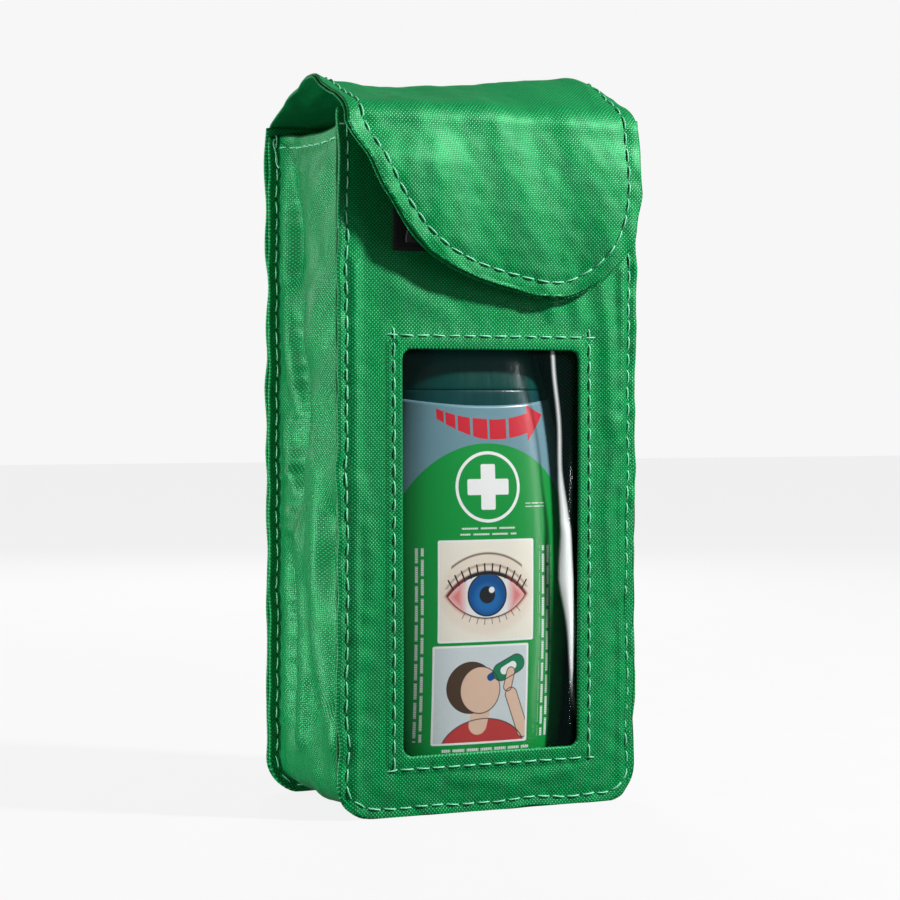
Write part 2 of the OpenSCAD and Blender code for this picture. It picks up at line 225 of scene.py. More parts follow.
def new_object(name: str, points: Array, faces: Sequence[Sequence[int]], smooth_faces: bool = True,
               repair: bool = True) -> Piece:
    """Make a mesh object from points in millimetres.

    Args:
        name: the object's name.
        points: the vertices.
        faces: vertex numbers of each face.
        smooth_faces: shade the faces smooth.
        repair: turn the normals outwards.

    Returns:
        The linked object.
    """
    mesh = bpy.data.meshes.new(name)
    mesh.from_pydata((np.asarray(points) * MM).tolist(), [], [list(map(int, f)) for f in faces])
    mesh.validate()
    if repair:
        shape = bmesh.new()
        shape.from_mesh(mesh)
        bmesh.ops.recalc_face_normals(shape, faces=shape.faces)
        shape.to_mesh(mesh)
        shape.free()
    if smooth_faces:
        mesh.polygons.foreach_set("use_smooth", [True] * len(mesh.polygons))
    piece = bpy.data.objects.new(name, mesh)
    bpy.context.scene.collection.objects.link(piece)
    return piece


def set_uv(piece: Piece, name: str, per_vertex: Array) -> None:
    """Give a mesh a UV map whose units are millimetres on the flat piece.

    Args:
        piece: the piece.
        name: the map's name.
        per_vertex: two coordinates a vertex.
    """
    mesh = piece.data
    layer = mesh.uv_layers.new(name=name)
    corners = np.zeros(len(mesh.loops), dtype=np.int32)
    mesh.loops.foreach_get("vertex_index", corners)
    layer.data.foreach_set("uv", np.asarray(per_vertex, float)[corners].astype(np.float32).ravel())


def grid_normals(grid: Array, closed: bool, side: float) -> Array:
    """Return the unit normals of a grid of points.

    Args:
        grid: rows by columns of points.
        closed: the columns close into a ring.
        side: 1 or -1: which way is out.

    Returns:
        One unit normal a point.
    """
    if closed:
        across = np.roll(grid, -1, axis=1) - np.roll(grid, 1, axis=1)
    else:
        across = np.gradient(grid, axis=1)
    down = np.gradient(grid, axis=0)
    normal = np.cross(across, down) * side
    return normal / np.maximum(np.linalg.norm(normal, axis=2, keepdims=True), 1e-12)


def thick_cloth(name: str, grid: Array, flat: Array, thickness: float, side: float,
                closed: bool = False) -> Piece:
    """Give a grid of middle-surface points a thickness and rounded, folded-looking edges.

    Args:
        name: the object's name.
        grid: rows by columns of points.
        flat: the same grid's flat cloth coordinates.
        thickness: the cloth's thickness.
        side: 1 or -1, so that the first face is the outer one.
        closed: the columns close into a ring.

    Returns:
        The cloth piece, with a UV map named weave.
    """
    rows, cols = grid.shape[:2]
    normal = grid_normals(grid, closed, side)
    half = thickness / 2.0
    number = np.arange(rows * cols).reshape(rows, cols)
    points = [(grid + normal * half).reshape(-1, 3), (grid - normal * half).reshape(-1, 3)]
    uvs = [flat.reshape(-1, 2), flat.reshape(-1, 2)]
    count = rows * cols
    right = np.roll(number, -1, axis=1) if closed else number[:, 1:]
    left = number if closed else number[:, :-1]
    cells = np.stack([left[:-1], right[:-1], right[1:], left[1:]], axis=-1).reshape(-1, 4)
    faces = [cells, cells[:, ::-1] + count]
    if closed:
        loops = [[(0, c) for c in range(cols)], [(rows - 1, c) for c in range(cols)]]
        inner = [[(1, c) for c in range(cols)], [(rows - 2, c) for c in range(cols)]]
    else:
        loop = ([(0, c) for c in range(cols)] + [(r, cols - 1) for r in range(1, rows)]
                + [(rows - 1, c) for c in range(cols - 2, -1, -1)] + [(r, 0) for r in range(rows - 2, 0, -1)])
        loops = [loop]
        inner = [[(min(max(r, 1), rows - 2), min(max(c, 1), cols - 2)) for r, c in loop]]
    total = 2 * count
    for edge, inside in zip(loops, inner):
        r, c = np.array(edge).T
        ri, ci = np.array(inside).T
        n = normal[r, c]
        out = grid[r, c] - grid[ri, ci]
        out -= n * np.sum(out * n, axis=1, keepdims=True)
        out /= np.maximum(np.linalg.norm(out, axis=1, keepdims=True), 1e-12)
        ring = [number[r, c]]
        for angle in (45.0, 90.0, 135.0):
            a = math.radians(angle)
            points.append(grid[r, c] + n * half * math.cos(a) + out * half * math.sin(a))
            uvs.append(flat[r, c])
            ring.append(np.arange(total, total + len(edge)))
            total += len(edge)
        ring.append(number[r, c] + count)
        for a, b in zip(ring[:-1], ring[1:]):
            faces.append(np.column_stack([a, np.roll(a, -1), np.roll(b, -1), b]))
    piece = new_object(name, np.concatenate(points), np.concatenate(faces))
    set_uv(piece, "weave", np.concatenate(uvs))
    return piece


def lathe(name: str, profile: Sequence[tuple[float, float]], centre: Array, axis: str = "Z",
          segments: int = 72) -> Piece:
    """Turn a closed profile of (radius, height) points round an axis through a centre.

    Args:
        name: the piece's name.
        profile: the closed profile.
        centre: a point on the axis.
        axis: Z or Y.
        segments: steps round the axis.

    Returns:
        The turned piece.
    """
    turn = np.linspace(0.0, 2.0 * math.pi, segments, endpoint=False)
    radius = np.array([p[0] for p in profile])[:, None]
    height = np.array([p[1] for p in profile])[:, None]
    u, v, w = radius * np.cos(turn), radius * np.sin(turn), np.repeat(height, segments, axis=1)
    grid = np.stack([u, v, w] if axis == "Z" else [u, w, v], axis=-1) + centre
    n = len(profile)
    number = np.arange(n * segments).reshape(n, segments)
    after = np.roll(number, -1, axis=0)
    cells = np.stack([number, np.roll(number, -1, axis=1), np.roll(after, -1, axis=1), after], axis=-1)
    piece = new_object(name, grid.reshape(-1, 3), cells.reshape(-1, 4))
    shape = bmesh.new()
    shape.from_mesh(piece.data)
    bmesh.ops.remove_doubles(shape, verts=shape.verts, dist=1e-7)
    bmesh.ops.recalc_face_normals(shape, faces=shape.faces)
    shape.to_mesh(piece.data)
    shape.free()
    return piece


def tube(name: str, line: Array, radius: float, sides: int = 8) -> Piece:
    """Sweep a round thread along a line of points and close its ends.

    Args:
        name: the piece's name.
        line: the line's points, in order.
        radius: the radius.
        sides: faces round the thread.

    Returns:
        The thread.
    """
    tangent = np.gradient(line, axis=0)
    tangent /= np.linalg.norm(tangent, axis=1, keepdims=True)
    first = np.cross(tangent, [0.31, 0.22, 0.93])
    first /= np.linalg.norm(first, axis=1, keepdims=True)
    second = np.cross(tangent, first)
    turn = np.linspace(0.0, 2.0 * math.pi, sides, endpoint=False)
    rings = (line[:, None] + radius * (first[:, None] * np.cos(turn)[None, :, None]
                                       + second[:, None] * np.sin(turn)[None, :, None]))
    number = np.arange(len(line) * sides).reshape(len(line), sides)
    cells = np.stack([number[:-1], np.roll(number, -1, axis=1)[:-1], np.roll(number, -1, axis=1)[1:],
                      number[1:]], axis=-1).reshape(-1, 4)
    faces = [list(c) for c in cells] + [list(number[0][::-1]), list(number[-1])]
    return new_object(name, rings.reshape(-1, 3), faces)


# ---------------------------------------------------------------- shader building


class Field:
    """A number that varies over a surface, made of Math nodes."""

    def __init__(self, shader: "Shader", value: "Socket | float") -> None:
        """Wrap a socket or a plain number."""
        self.shader = shader
        self.value = value

    def op(self, operation: str, *others: "Field | float", clamp: bool = False) -> "Field":
        """Return the result of one Math node on this field and others.

        Args:
            operation: the Math node's operation.
            others: fields or numbers.
            clamp: keep the result from 0 to 1.

        Returns:
            The result.
        """
        node = self.shader.nodes.new("ShaderNodeMath")
        node.operation = operation
        node.use_clamp = clamp
        for socket, item in zip(node.inputs, (self, *others)):
            self.shader.feed(socket, item.value if isinstance(item, Field) else item)
        return Field(self.shader, node.outputs[0])

    def __add__(self, other: "Field | float") -> "Field":
        """Add."""
        return self.op("ADD", other)

    def __sub__(self, other: "Field | float") -> "Field":
        """Subtract."""
        return self.op("SUBTRACT", other)

    def __mul__(self, other: "Field | float") -> "Field":
        """Multiply."""
        return self.op("MULTIPLY", other)

    def __truediv__(self, other: "Field | float") -> "Field":
        """Divide."""
        return self.op("DIVIDE", other)

    def __abs__(self) -> "Field":
        """Return the size."""
        return self.op("ABSOLUTE")

    def low(self, other: "Field | float") -> "Field":
        """Return the smaller of two."""
        return self.op("MINIMUM", other)

    def high(self, other: "Field | float") -> "Field":
        """Return the larger of two."""
        return self.op("MAXIMUM", other)

    def wrap(self, length: float) -> "Field":
        """Repeat from minus half to half of a length."""
        return self.op("WRAP", length / 2.0, -length / 2.0)

    def ink(self, softness: float = 0.08) -> "Field":
        """Turn a distance, negative inside, into coverage from 0 to 1 with an edge of some softness."""
        return self.op("MULTIPLY_ADD", -1.0 / softness, 0.5, clamp=True)


class Shader:
    """Builds one procedural material."""

    def __init__(self, name: str) -> None:
        """Start a material with a Principled shader.

        Args:
            name: the material's name.
        """
        self.material = bpy.data.materials.new(name)
        self.material.use_nodes = True
        self.nodes = self.material.node_tree.nodes
        self.links = self.material.node_tree.links
        self.bsdf = self.nodes["Principled BSDF"]

    def feed(self, socket: Socket, value: object) -> None:
        """Link a socket, or set its value.

        Args:
            socket: the input.
            value: a field, socket, number or colour.
        """
        if isinstance(value, Socket):
            self.links.new(value, socket)
        else:
            socket.default_value = value

    def set(self, **values: object) -> None:
        """Set the Principled shader's inputs; an underscore stands for a space."""
        for name, value in values.items():
            self.feed(self.bsdf.inputs[name.replace("_", " ")], value)

    def flat(self, uv_map: str) -> tuple[Field, Field]:
        """Return the two coordinates of a UV map, in millimetres.

        Args:
            uv_map: the map's name.

        Returns:
            Its u and v.
        """
        uv = self.nodes.new("ShaderNodeUVMap")
        uv.uv_map = uv_map
        split = self.nodes.new("ShaderNodeSeparateXYZ")
        self.links.new(uv.outputs[0], split.inputs[0])
        return Field(self, split.outputs[0]), Field(self, split.outputs[1])

    def noise(self, scale: float, detail: float = 2.0, stretch: Triple = (1.0, 1.0, 1.0)) -> Field:
        """Return noise on the object's own coordinates, with a scale per metre.

        Args:
            scale: features a metre.
            detail: octaves.
            stretch: scale along each axis.

        Returns:
            The noise, 0 to 1.
        """
        place = self.nodes.new("ShaderNodeTexCoord")
        mapping = self.nodes.new("ShaderNodeMapping")
        mapping.inputs["Scale"].default_value = stretch
        grain = self.nodes.new("ShaderNodeTexNoise")
        grain.inputs["Scale"].default_value = scale
        grain.inputs["Detail"].default_value = detail
        self.links.new(place.outputs["Object"], mapping.inputs["Vector"])
        self.links.new(mapping.outputs[0], grain.inputs["Vector"])
        return Field(self, grain.outputs["Fac"])

    def mix(self, below: object, above: object, amount: Field) -> Socket:
        """Return a mix of two colours.

        Args:
            below: the colour at 0.
            above: the colour at 1.
            amount: the share of the second.

        Returns:
            The mixed colour's socket.
        """
        node = self.nodes.new("ShaderNodeMix")
        node.data_type = "RGBA"
        self.feed(node.inputs[0], amount.value)
        for socket, colour in ((node.inputs[6], below), (node.inputs[7], above)):
            self.feed(socket, colour if isinstance(colour, Socket) else (*colour, 1.0))
        return node.outputs[2]

    def bump(self, height: Field, distance: float, strength: float = 1.0,
             below: Socket | None = None) -> Socket:
        """Return a normal raised by a height field over a distance in millimetres.

        Args:
            height: the height field.
            distance: its height.
            strength: the bump's strength.
            below: a normal to raise.

        Returns:
            The normal's socket.
        """
        node = self.nodes.new("ShaderNodeBump")
        node.inputs["Strength"].default_value = strength
        node.inputs["Distance"].default_value = distance * MM
        self.links.new(height.value, node.inputs["Height"])
        if below is not None:
            self.links.new(below, node.inputs["Normal"])
        return node.outputs[0]


@dataclass(frozen=True)
class WovenFinish:
    """Coated plain-weave cloth with a soft sheen: bright thread tops on a darker ground, the tops painted
    lighter as painted highlight and the ground darker as painted shade.
    """

    name: str
    shaded_ground: Colour
    thread: Colour
    pitch: float = 0.56
    relief: float = 0.075
    roughness: float = 0.35
    sheen: float = 0.0

    def build(self) -> Material:
        """Build the material on the weave UV map.

        Returns:
            The material.
        """
        shader = Shader(self.name)
        u, v = shader.flat("weave")
        warp = (u * (math.pi / self.pitch)).op("SINE")
        weft = (v * (math.pi / self.pitch)).op("SINE")
        # Painted light: the pillow tops are painted lighter, the crossings where the warp lies over are
        # lighter still and the gaps between threads are darkest, as painted highlight and painted shade of
        # the weave relief. The same tone also drives the bump and the roughness.
        pillow = (abs(warp) * abs(weft)).op("POWER", 0.7)
        over = (warp * weft).op("GREATER_THAN", 0.0)
        tone = pillow * (over * 0.74 + 0.26)
        patchy = shader.noise(38.0, 3.0)
        fleck = shader.noise(1500.0, 1.0)
        level = tone * (fleck * 0.9 + 0.55) * (patchy * 0.5 + 0.75)
        # The ground colour is painted shade between the threads, and the thread colour is painted highlight
        # on their tops.
        colour = shader.mix(self.shaded_ground, self.thread, level)
        weave = shader.bump(tone, self.relief)
        crumple = shader.bump(shader.noise(240.0, 2.0), 0.22, 0.5, weave)
        rough = tone * -0.08 + (self.roughness + 0.03)
        shader.set(Base_Color=colour, Roughness=(rough + patchy * 0.06).value, Normal=crumple)
        shader.set(Sheen_Weight=self.sheen, Sheen_Roughness=0.35, Specular_IOR_Level=0.5)
        shader.bsdf.inputs["Sheen Tint"].default_value = (0.5, 1.0, 0.72, 1.0)
        shader.bsdf.inputs["Specular Tint"].default_value = (0.22, 1.0, 0.46, 1.0)
        return shader.material


@dataclass(frozen=True)
class WebbingFinish:
    """Ribbed strap webbing with herringbone threads, the grooves between them painted darker as painted
    shade.
    """

    name: str
    shaded_ground: Colour
    thread: Colour
    rib: float = 1.5

    def build(self) -> Material:
        """Build the material on the weave UV map.

        Returns:
            The material.
        """
        shader = Shader(self.name)
        u, v = shader.flat("weave")
        slant = (u.wrap(self.rib * 6.0)).op("ABSOLUTE")
        rib = abs(((v + slant) * (math.pi / self.rib)).op("SINE"))
        thread = abs((u * (math.pi / 0.5)).op("SINE"))
        # Painted shade: the grooves between ribs and between threads are painted darker. The same tone also
        # drives the bump.
        tone = rib * (thread * 0.45 + 0.55)
        colour = shader.mix(self.shaded_ground, self.thread, tone * (shader.noise(700.0, 2.0) * 0.8 + 0.5))
        shader.set(Base_Color=colour, Roughness=0.62, Normal=shader.bump(tone, 0.3))
        shader.set(Sheen_Weight=0.35, Sheen_Roughness=0.4)
        return shader.material


@dataclass(frozen=True)
class ThreadFinish:
    """Twisted polyester sewing thread."""

    name: str
    colour: Colour

    def build(self) -> Material:
        """Build the material on object coordinates.

        Returns:
            The material.
        """
        shader = Shader(self.name)
        grain = shader.noise(2600.0, 2.0)
        dark = tuple(0.55 * c for c in self.colour)
        shader.set(Base_Color=shader.mix(dark, self.colour, grain), Roughness=0.45)
        shader.set(Normal=shader.bump(grain, 0.06), Sheen_Weight=0.3)
        return shader.material


@dataclass(frozen=True)
class PlasticFinish:
    """Moulded plastic with drawn streaks and a little waviness."""

    name: str
    colour: Colour
    shade: Colour
    roughness: float = 0.22
    streak: float = 0.05
    coat: float = 0.0

    def build(self) -> Material:
        """Build the material on object coordinates.

        Returns:
            The material.
        """
        shader = Shader(self.name)
        streaks = shader.noise(900.0, 2.0, (1.0, 1.0, 0.03))
        cloud = shader.noise(45.0, 2.0)
        shader.set(Base_Color=shader.mix(self.shade, self.colour, streaks * 0.6 + cloud * 0.5))
        shader.set(Roughness=(streaks * 0.14 + (self.roughness - 0.05)).value)
        shader.set(Normal=shader.bump(streaks, self.streak), Coat_Weight=self.coat, Coat_Roughness=0.12)
        return shader.material


@dataclass(frozen=True)
class MetalFinish:
    """Nickel-plated brass with fine handling marks."""

    name: str
    colour: Colour = (0.62, 0.62, 0.60)

    def build(self) -> Material:
        """Build the material on object coordinates.

        Returns:
            The material.
        """
        shader = Shader(self.name)
        marks = shader.noise(1800.0, 4.0, (1.0, 1.0, 0.2))
        worn = tuple(0.72 * c for c in self.colour)
        shader.set(Base_Color=shader.mix(worn, self.colour, marks), Metallic=1.0)
        shader.set(Roughness=(marks * 0.2 + 0.16).value, Normal=shader.bump(marks, 0.02))
        return shader.material


@dataclass(frozen=True)
class FilmFinish:
    """Clear vinyl film: mostly see-through, with faint haze and a painted highlight streak, white and partly
    opaque, down its right side along its crease.
    """

    name: str
    opacity: float = 0.08
    # Where the painted highlight streak runs: its place across, its lean and the height where it is
    # strongest.
    highlight_x: float = 21.4
    highlight_lean: float = -0.066
    highlight_middle: float = 66.0

    def build(self) -> Material:
        """Build the material on object coordinates, with its painted highlight streak along the crease on the
        weave UV map.

        Returns:
            The material.
        """
        shader = Shader(self.name)
        haze = shader.noise(60.0, 3.0, (1.0, 1.0, 0.4))
        u, v = shader.flat("weave")
        across = u - ((v - 118.0) * self.highlight_lean + self.highlight_x)
        crease = abs(across + (v * 0.21).op("SINE") * 0.3)
        strong = (abs(v - self.highlight_middle) / -32.0 + 1.0).high(0.0)
        # Painted highlight: fold is a white, partly opaque streak along the film's crease that stands in for
        # a lamp's reflection on the curved film.
        fold = (crease * -0.50 + (strong * 0.95 + 0.50)).high(0.0) * ((v - 24.0) / 16.0).high(0.0).low(1.0)
        fold = fold * (haze * 1.2 + 0.22)
        # The base colour turns white along the painted highlight streak.
        painted_highlight_colour = shader.mix((0.01, 0.03, 0.03), (0.92, 0.97, 0.96), (fold * 3.0).low(1.0))
        cover = (haze * 0.04 + fold * 0.80 + (self.opacity - 0.025)).low(0.94)
        shader.set(Base_Color=painted_highlight_colour, Alpha=cover.value)
        shader.set(Roughness=0.09, Normal=shader.bump(haze, 0.06), Specular_IOR_Level=1.0)
        shader.material.surface_render_method = "BLENDED"
        return shader.material


@dataclass(frozen=True)
class PlainFinish:
    """A fine-grained matt or glossy material for small parts."""

    name: str
    colour: Colour
    roughness: float = 0.6
    grain: float = 0.04

    def build(self) -> Material:
        """Build the material on object coordinates.

        Returns:
            The material.
        """
        shader = Shader(self.name)
        speck = shader.noise(2200.0, 3.0)
        dark = tuple(0.7 * c for c in self.colour)
        shader.set(Base_Color=shader.mix(dark, self.colour, speck * 0.8 + 0.3), Roughness=self.roughness)
        shader.set(Normal=shader.bump(speck, self.grain))
        return shader.material


# ---------------------------------------------------------------- geometry node trees


class Sprig(Enum):
    """The small repeated shapes that node trees set on cloth."""

    THREAD = "thread"
    HOLE = "needle_hole"
    HOOK = "hook"
    LOOP = "loop"


class SprigTree:
    """A geometry node tree that sets one small shape on every point of a mesh."""

    def __init__(self, sprig: Sprig) -> None:
        """Build the tree for one kind of sprig.

        Args:
            sprig: the kind.
        """
        self.tree = bpy.data.node_groups.new(f"set_{sprig.value}", "GeometryNodeTree")
        self.inlet = self.tree.nodes.new("NodeGroupInput")
        outlet = self.tree.nodes.new("NodeGroupOutput")
        points = self.take("Geometry", "NodeSocketGeometry")
        self.tree.interface.new_socket("Geometry", in_out="OUTPUT", socket_type="NodeSocketGeometry")
        length = self.take("Length", "NodeSocketFloat")
        radius = self.take("Radius", "NodeSocketFloat")
        seed = self.take("Seed", "NodeSocketInt")
        material = self.take("Material", "NodeSocketMaterial")
        shape = self.hole(radius) if sprig is Sprig.HOLE else self.bent_thread(sprig, length, radius)
        along = self.add("GeometryNodeInputNamedAttribute", {"Name": "along"}, data_type="FLOAT_VECTOR")
        facing = self.add("GeometryNodeInputNamedAttribute", {"Name": "facing"}, data_type="FLOAT_VECTOR")
        first = self.add("FunctionNodeAlignRotationToVector", {"Vector": along.outputs[0]}, axis="X")
        turned = self.add("FunctionNodeAlignRotationToVector",
                          {"Rotation": first.outputs[0], "Vector": facing.outputs[0]},
                          axis="Z", pivot_axis="X")
        sway = self.add("FunctionNodeRandomValue", {"Seed": seed}, data_type="FLOAT")
        lean = 0.9 if sprig in (Sprig.HOOK, Sprig.LOOP) else 0.07
        floats = [s for s in sway.inputs if s.type == "VALUE"]
        floats[0].default_value = -lean
        floats[1].default_value = lean
        swing = self.add("FunctionNodeAxisAngleToRotation",
                         {"Angle": next(s for s in sway.outputs if s.type == "VALUE" and s.enabled)})
        swing.inputs["Axis"].default_value = (0.0, 0.0, 1.0)
        placed = self.add("FunctionNodeRotateRotation",
                          {"Rotation": turned.outputs[0], "Rotate By": swing.outputs[0]},
                          rotation_space="LOCAL")
        size = self.add("FunctionNodeRandomValue", {"Seed": seed}, data_type="FLOAT_VECTOR")
        size.inputs[0].default_value = (0.93, 0.85, 0.85)
        size.inputs[1].default_value = (1.05, 1.10, 1.15)
        set_on = self.add("GeometryNodeInstanceOnPoints",
                          {"Points": points, "Instance": shape, "Rotation": placed.outputs[0],
                           "Scale": next(s for s in size.outputs if s.type == "VECTOR" and s.enabled)})
        whole = self.add("GeometryNodeRealizeInstances", {"Geometry": set_on.outputs[0]})
        soft = self.add("GeometryNodeSetShadeSmooth", {"Geometry": whole.outputs[0]})
        dressed = self.add("GeometryNodeSetMaterial", {"Geometry": soft.outputs[0], "Material": material})
        self.tree.links.new(dressed.outputs[0], outlet.inputs[0])

    def take(self, name: str, kind: str) -> Socket:
        """Add a named input and return its socket."""
        self.tree.interface.new_socket(name, in_out="INPUT", socket_type=kind)
        return self.inlet.outputs[name]

    def add(self, kind: str, inputs: dict[str, object], **settings: object) -> bpy.types.Node:
        """Add a node, set its properties and feed its inputs.

        Args:
            kind: the node's type.
            inputs: a socket or a value for each named input.
            settings: the node's own properties.

        Returns:
            The node.
        """
        node = self.tree.nodes.new(kind)
        for name, value in settings.items():
            setattr(node, name, value)
        for name, value in inputs.items():
            socket = next(s for s in node.inputs if s.name == name and s.enabled)
            if isinstance(value, Socket):
                self.tree.links.new(value, socket)
            else:
                socket.default_value = value
        return node

    def hole(self, radius: Socket) -> Socket:
        """Return a flattened dark pit for a needle hole, painted shade that stands for the shadow inside the
        hole.

        Args:
            radius: the pit's radius.

        Returns:
            The pit's socket.
        """
        # The dark pit is painted shade: a dark solid where a real hole only holds shadow.
        ball = self.add("GeometryNodeMeshUVSphere", {"Radius": radius, "Segments": 10, "Rings": 6})
        pressed = self.add("GeometryNodeTransform", {"Geometry": ball.outputs[0], "Scale": (1.0, 1.0, 0.35)})
        return pressed.outputs[0]

    def bent_thread(self, sprig: Sprig, length: Socket, radius: Socket) -> Socket:
        """Return a short bent length of thread: a stitch, a hook or a loop.

        Args:
            sprig: the kind.
            length: the sprig's length.
            radius: the thread's radius.

        Returns:
            The thread's socket.
        """
        bends = {
            Sprig.THREAD: ((-0.5, 0, -0.10), (-0.32, 0, 0.11), (0.32, 0, 0.11), (0.5, 0, -0.10)),
            Sprig.HOOK: ((0, 0, -0.1), (-0.1, 0, 1.5), (0.9, 0, 1.3), (0.62, 0, 0.45)),
            Sprig.LOOP: ((-0.35, 0, -0.1), (-0.75, 0.3, 0.95), (0.8, 0.3, 1.0), (0.35, 0.2, -0.1)),
        }[sprig]
        curve = self.add("GeometryNodeCurvePrimitiveBezierSegment",
                         {"Resolution": 8, "Start": bends[0], "Start Handle": bends[1],
                          "End Handle": bends[2], "End": bends[3]}, mode="POSITION")
        scaled = self.add("ShaderNodeCombineXYZ", {"X": length, "Y": length, "Z": length})
        sized = self.add("GeometryNodeTransform", {"Geometry": curve.outputs[0], "Scale": scaled.outputs[0]})
        ring = self.add("GeometryNodeCurvePrimitiveCircle", {"Resolution": 7, "Radius": radius})
        swept = self.add("GeometryNodeCurveToMesh",
                         {"Curve": sized.outputs[0], "Profile Curve": ring.outputs[0], "Fill Caps": True})
        return swept.outputs[0]

    def grow(self, name: str, points: Array, along: Array, facing: Array, length: float, radius: float,
             seed: int, material: Material) -> Piece:
        """Set the sprigs on points and keep them as a plain mesh.

        Args:
            name: the new object's name.
            points: where the sprigs stand.
            along: the way each one runs.
            facing: the way each one stands up.
            length: the length of one sprig.
            radius: the radius of its thread.
            seed: seed of its small differences.
            material: its material.

        Returns:
            The piece.
        """
        mesh = bpy.data.meshes.new(name)
        mesh.from_pydata((points * MM).tolist(), [], [])
        for label, values in (("along", along), ("facing", facing)):
            store = mesh.attributes.new(label, "FLOAT_VECTOR", "POINT")
            store.data.foreach_set("vector", values.astype(np.float32).ravel())
        piece = bpy.data.objects.new(name, mesh)
        bpy.context.scene.collection.objects.link(piece)
        values = {"Length": length * MM, "Radius": radius * MM, "Seed": seed, "Material": material}
        modifier = piece.modifiers.new("sprigs", "NODES")
        modifier.node_group = self.tree
        for item in self.tree.interface.items_tree:
            if item.item_type == "SOCKET" and item.in_out == "INPUT" and item.name in values:
                modifier[item.identifier] = values[item.name]
        graph = bpy.context.evaluated_depsgraph_get()
        made = bpy.data.meshes.new_from_object(piece.evaluated_get(graph), depsgraph=graph)
        piece.modifiers.clear()
        for label in ("along", "facing"):
            if label in made.attributes:
                made.attributes.remove(made.attributes[label])
        made.name = name
        piece.data = made
        bpy.data.meshes.remove(mesh)
        return piece


# ---------------------------------------------------------------- cloth


@dataclass(frozen=True)
class Sewing:
    """Thread and needle marks used by every sewn piece."""

    thread: Material
    shadow: Material
    trees: dict[Sprig, SprigTree]
    length: float = 3.5
    radius: float = 0.23
    hole_radius: float = 0.27

    def sew(self, name: str, cloth: "Cloth", seed: int) -> list[Piece]:
        """Draw every seam of a cloth piece on its outer face.

        Args:
            name: the stem of the new pieces' names.
            cloth: the piece to sew.
            seed: seed of the stitches' small differences.

        Returns:
            The threads and the needle holes.
        """
        threads, holes = [], []
        for seam in cloth.seams:
            for spots, shift in ((threads, 0.0), (holes, 0.5)):
                spots.append(cloth.seam_spots(seam, shift))
        pieces = []
        rows = ((threads, Sprig.THREAD, self.thread, self.length, self.radius, self.radius * 0.6),
                # The needle holes are dark pits in the shadow material: painted shade.
                (holes, Sprig.HOLE, self.shadow, 1.0, self.hole_radius, 0.02))
        for spots, sprig, material, length, radius, lift in rows:
            place, along, facing = (np.concatenate(part) for part in zip(*spots))
            pieces.append(self.trees[sprig].grow(f"{name}_{sprig.value}", place + facing * lift, along,
                                                 facing, length, radius, seed, material))
        return pieces


@dataclass
class Cloth:
    """A sewn cloth piece: a surface over flat coordinates, with its seams."""

    thickness: float
    side: float
    seams: list[Seam] = field(default_factory=list)

    def shape(self, flat: Array) -> Array:
        """Return the middle surface before the seams draw it in."""
        raise NotImplementedError

    def surface(self, flat: Array) -> Array:
        """Return the middle surface with its seams drawn in.

        Args:
            flat: flat coordinates, one row a point.

        Returns:
            One point a row.
        """
        points = self.shape(flat)
        if not self.seams:
            return points
        depth = np.max([seam.dimple(flat) for seam in self.seams], axis=0)
        touched = depth > 1e-4
        if touched.any():
            normal = normals_on(self.shape, flat[touched], self.side)
            points[touched] -= normal * depth[touched, None]
        return points

    def seam_spots(self, seam: Seam, shift: float) -> tuple[Array, Array, Array]:
        """Return the places, directions and facings of a seam's stitches.

        Args:
            seam: the seam.
            shift: how far along to start.

        Returns:
            Places, directions and facings.
        """
        line = resampled(seam.line, 0.5)
        travelled = travel(line)
        places = np.arange(shift * seam.pitch, travelled[-1], seam.pitch)
        at, ahead, behind = (points_at(line, travelled, places + step) for step in (0.0, 0.4, -0.4))
        facing = normals_on(self.surface, at, self.side)
        along = self.surface(ahead) - self.surface(behind)
        along /= np.linalg.norm(along, axis=1, keepdims=True)
        return self.surface(at) + facing * self.thickness / 2.0, along, facing

    def cut(self, name: str, flat: Array, closed: bool = False) -> Piece:
        """Cut the piece from a grid of flat coordinates.

        Args:
            name: the piece's name.
            flat: rows by columns of flat coordinates.
            closed: the columns close into a ring.

        Returns:
            The cut piece.
        """
        rows, cols = flat.shape[:2]
        grid = self.surface(flat.reshape(-1, 2)).reshape(rows, cols, 3)
        return thick_cloth(name, grid, flat, self.thickness, self.side, closed)


def dress(piece: Piece, material: Material) -> None:
    """Give a piece its one material.

    Args:
        piece: the piece.
        material: its material.
    """
    piece.data.materials.clear()
    piece.data.materials.append(material)


def box_reach(flat: Array, low: tuple[float, float], high: tuple[float, float]) -> Array:
    """Return each point's distance outside a box, negative inside.

    Args:
        flat: flat coordinates, one row a point.
        low: the box's low corner.
        high: the box's high corner.

    Returns:
        One distance a point.
    """
    centre = (np.array(low) + np.array(high)) / 2.0
    half = (np.array(high) - np.array(low)) / 2.0
    away = np.abs(flat - centre) - half
    return np.linalg.norm(np.maximum(away, 0.0), axis=1) + np.minimum(away.max(axis=1), 0.0)


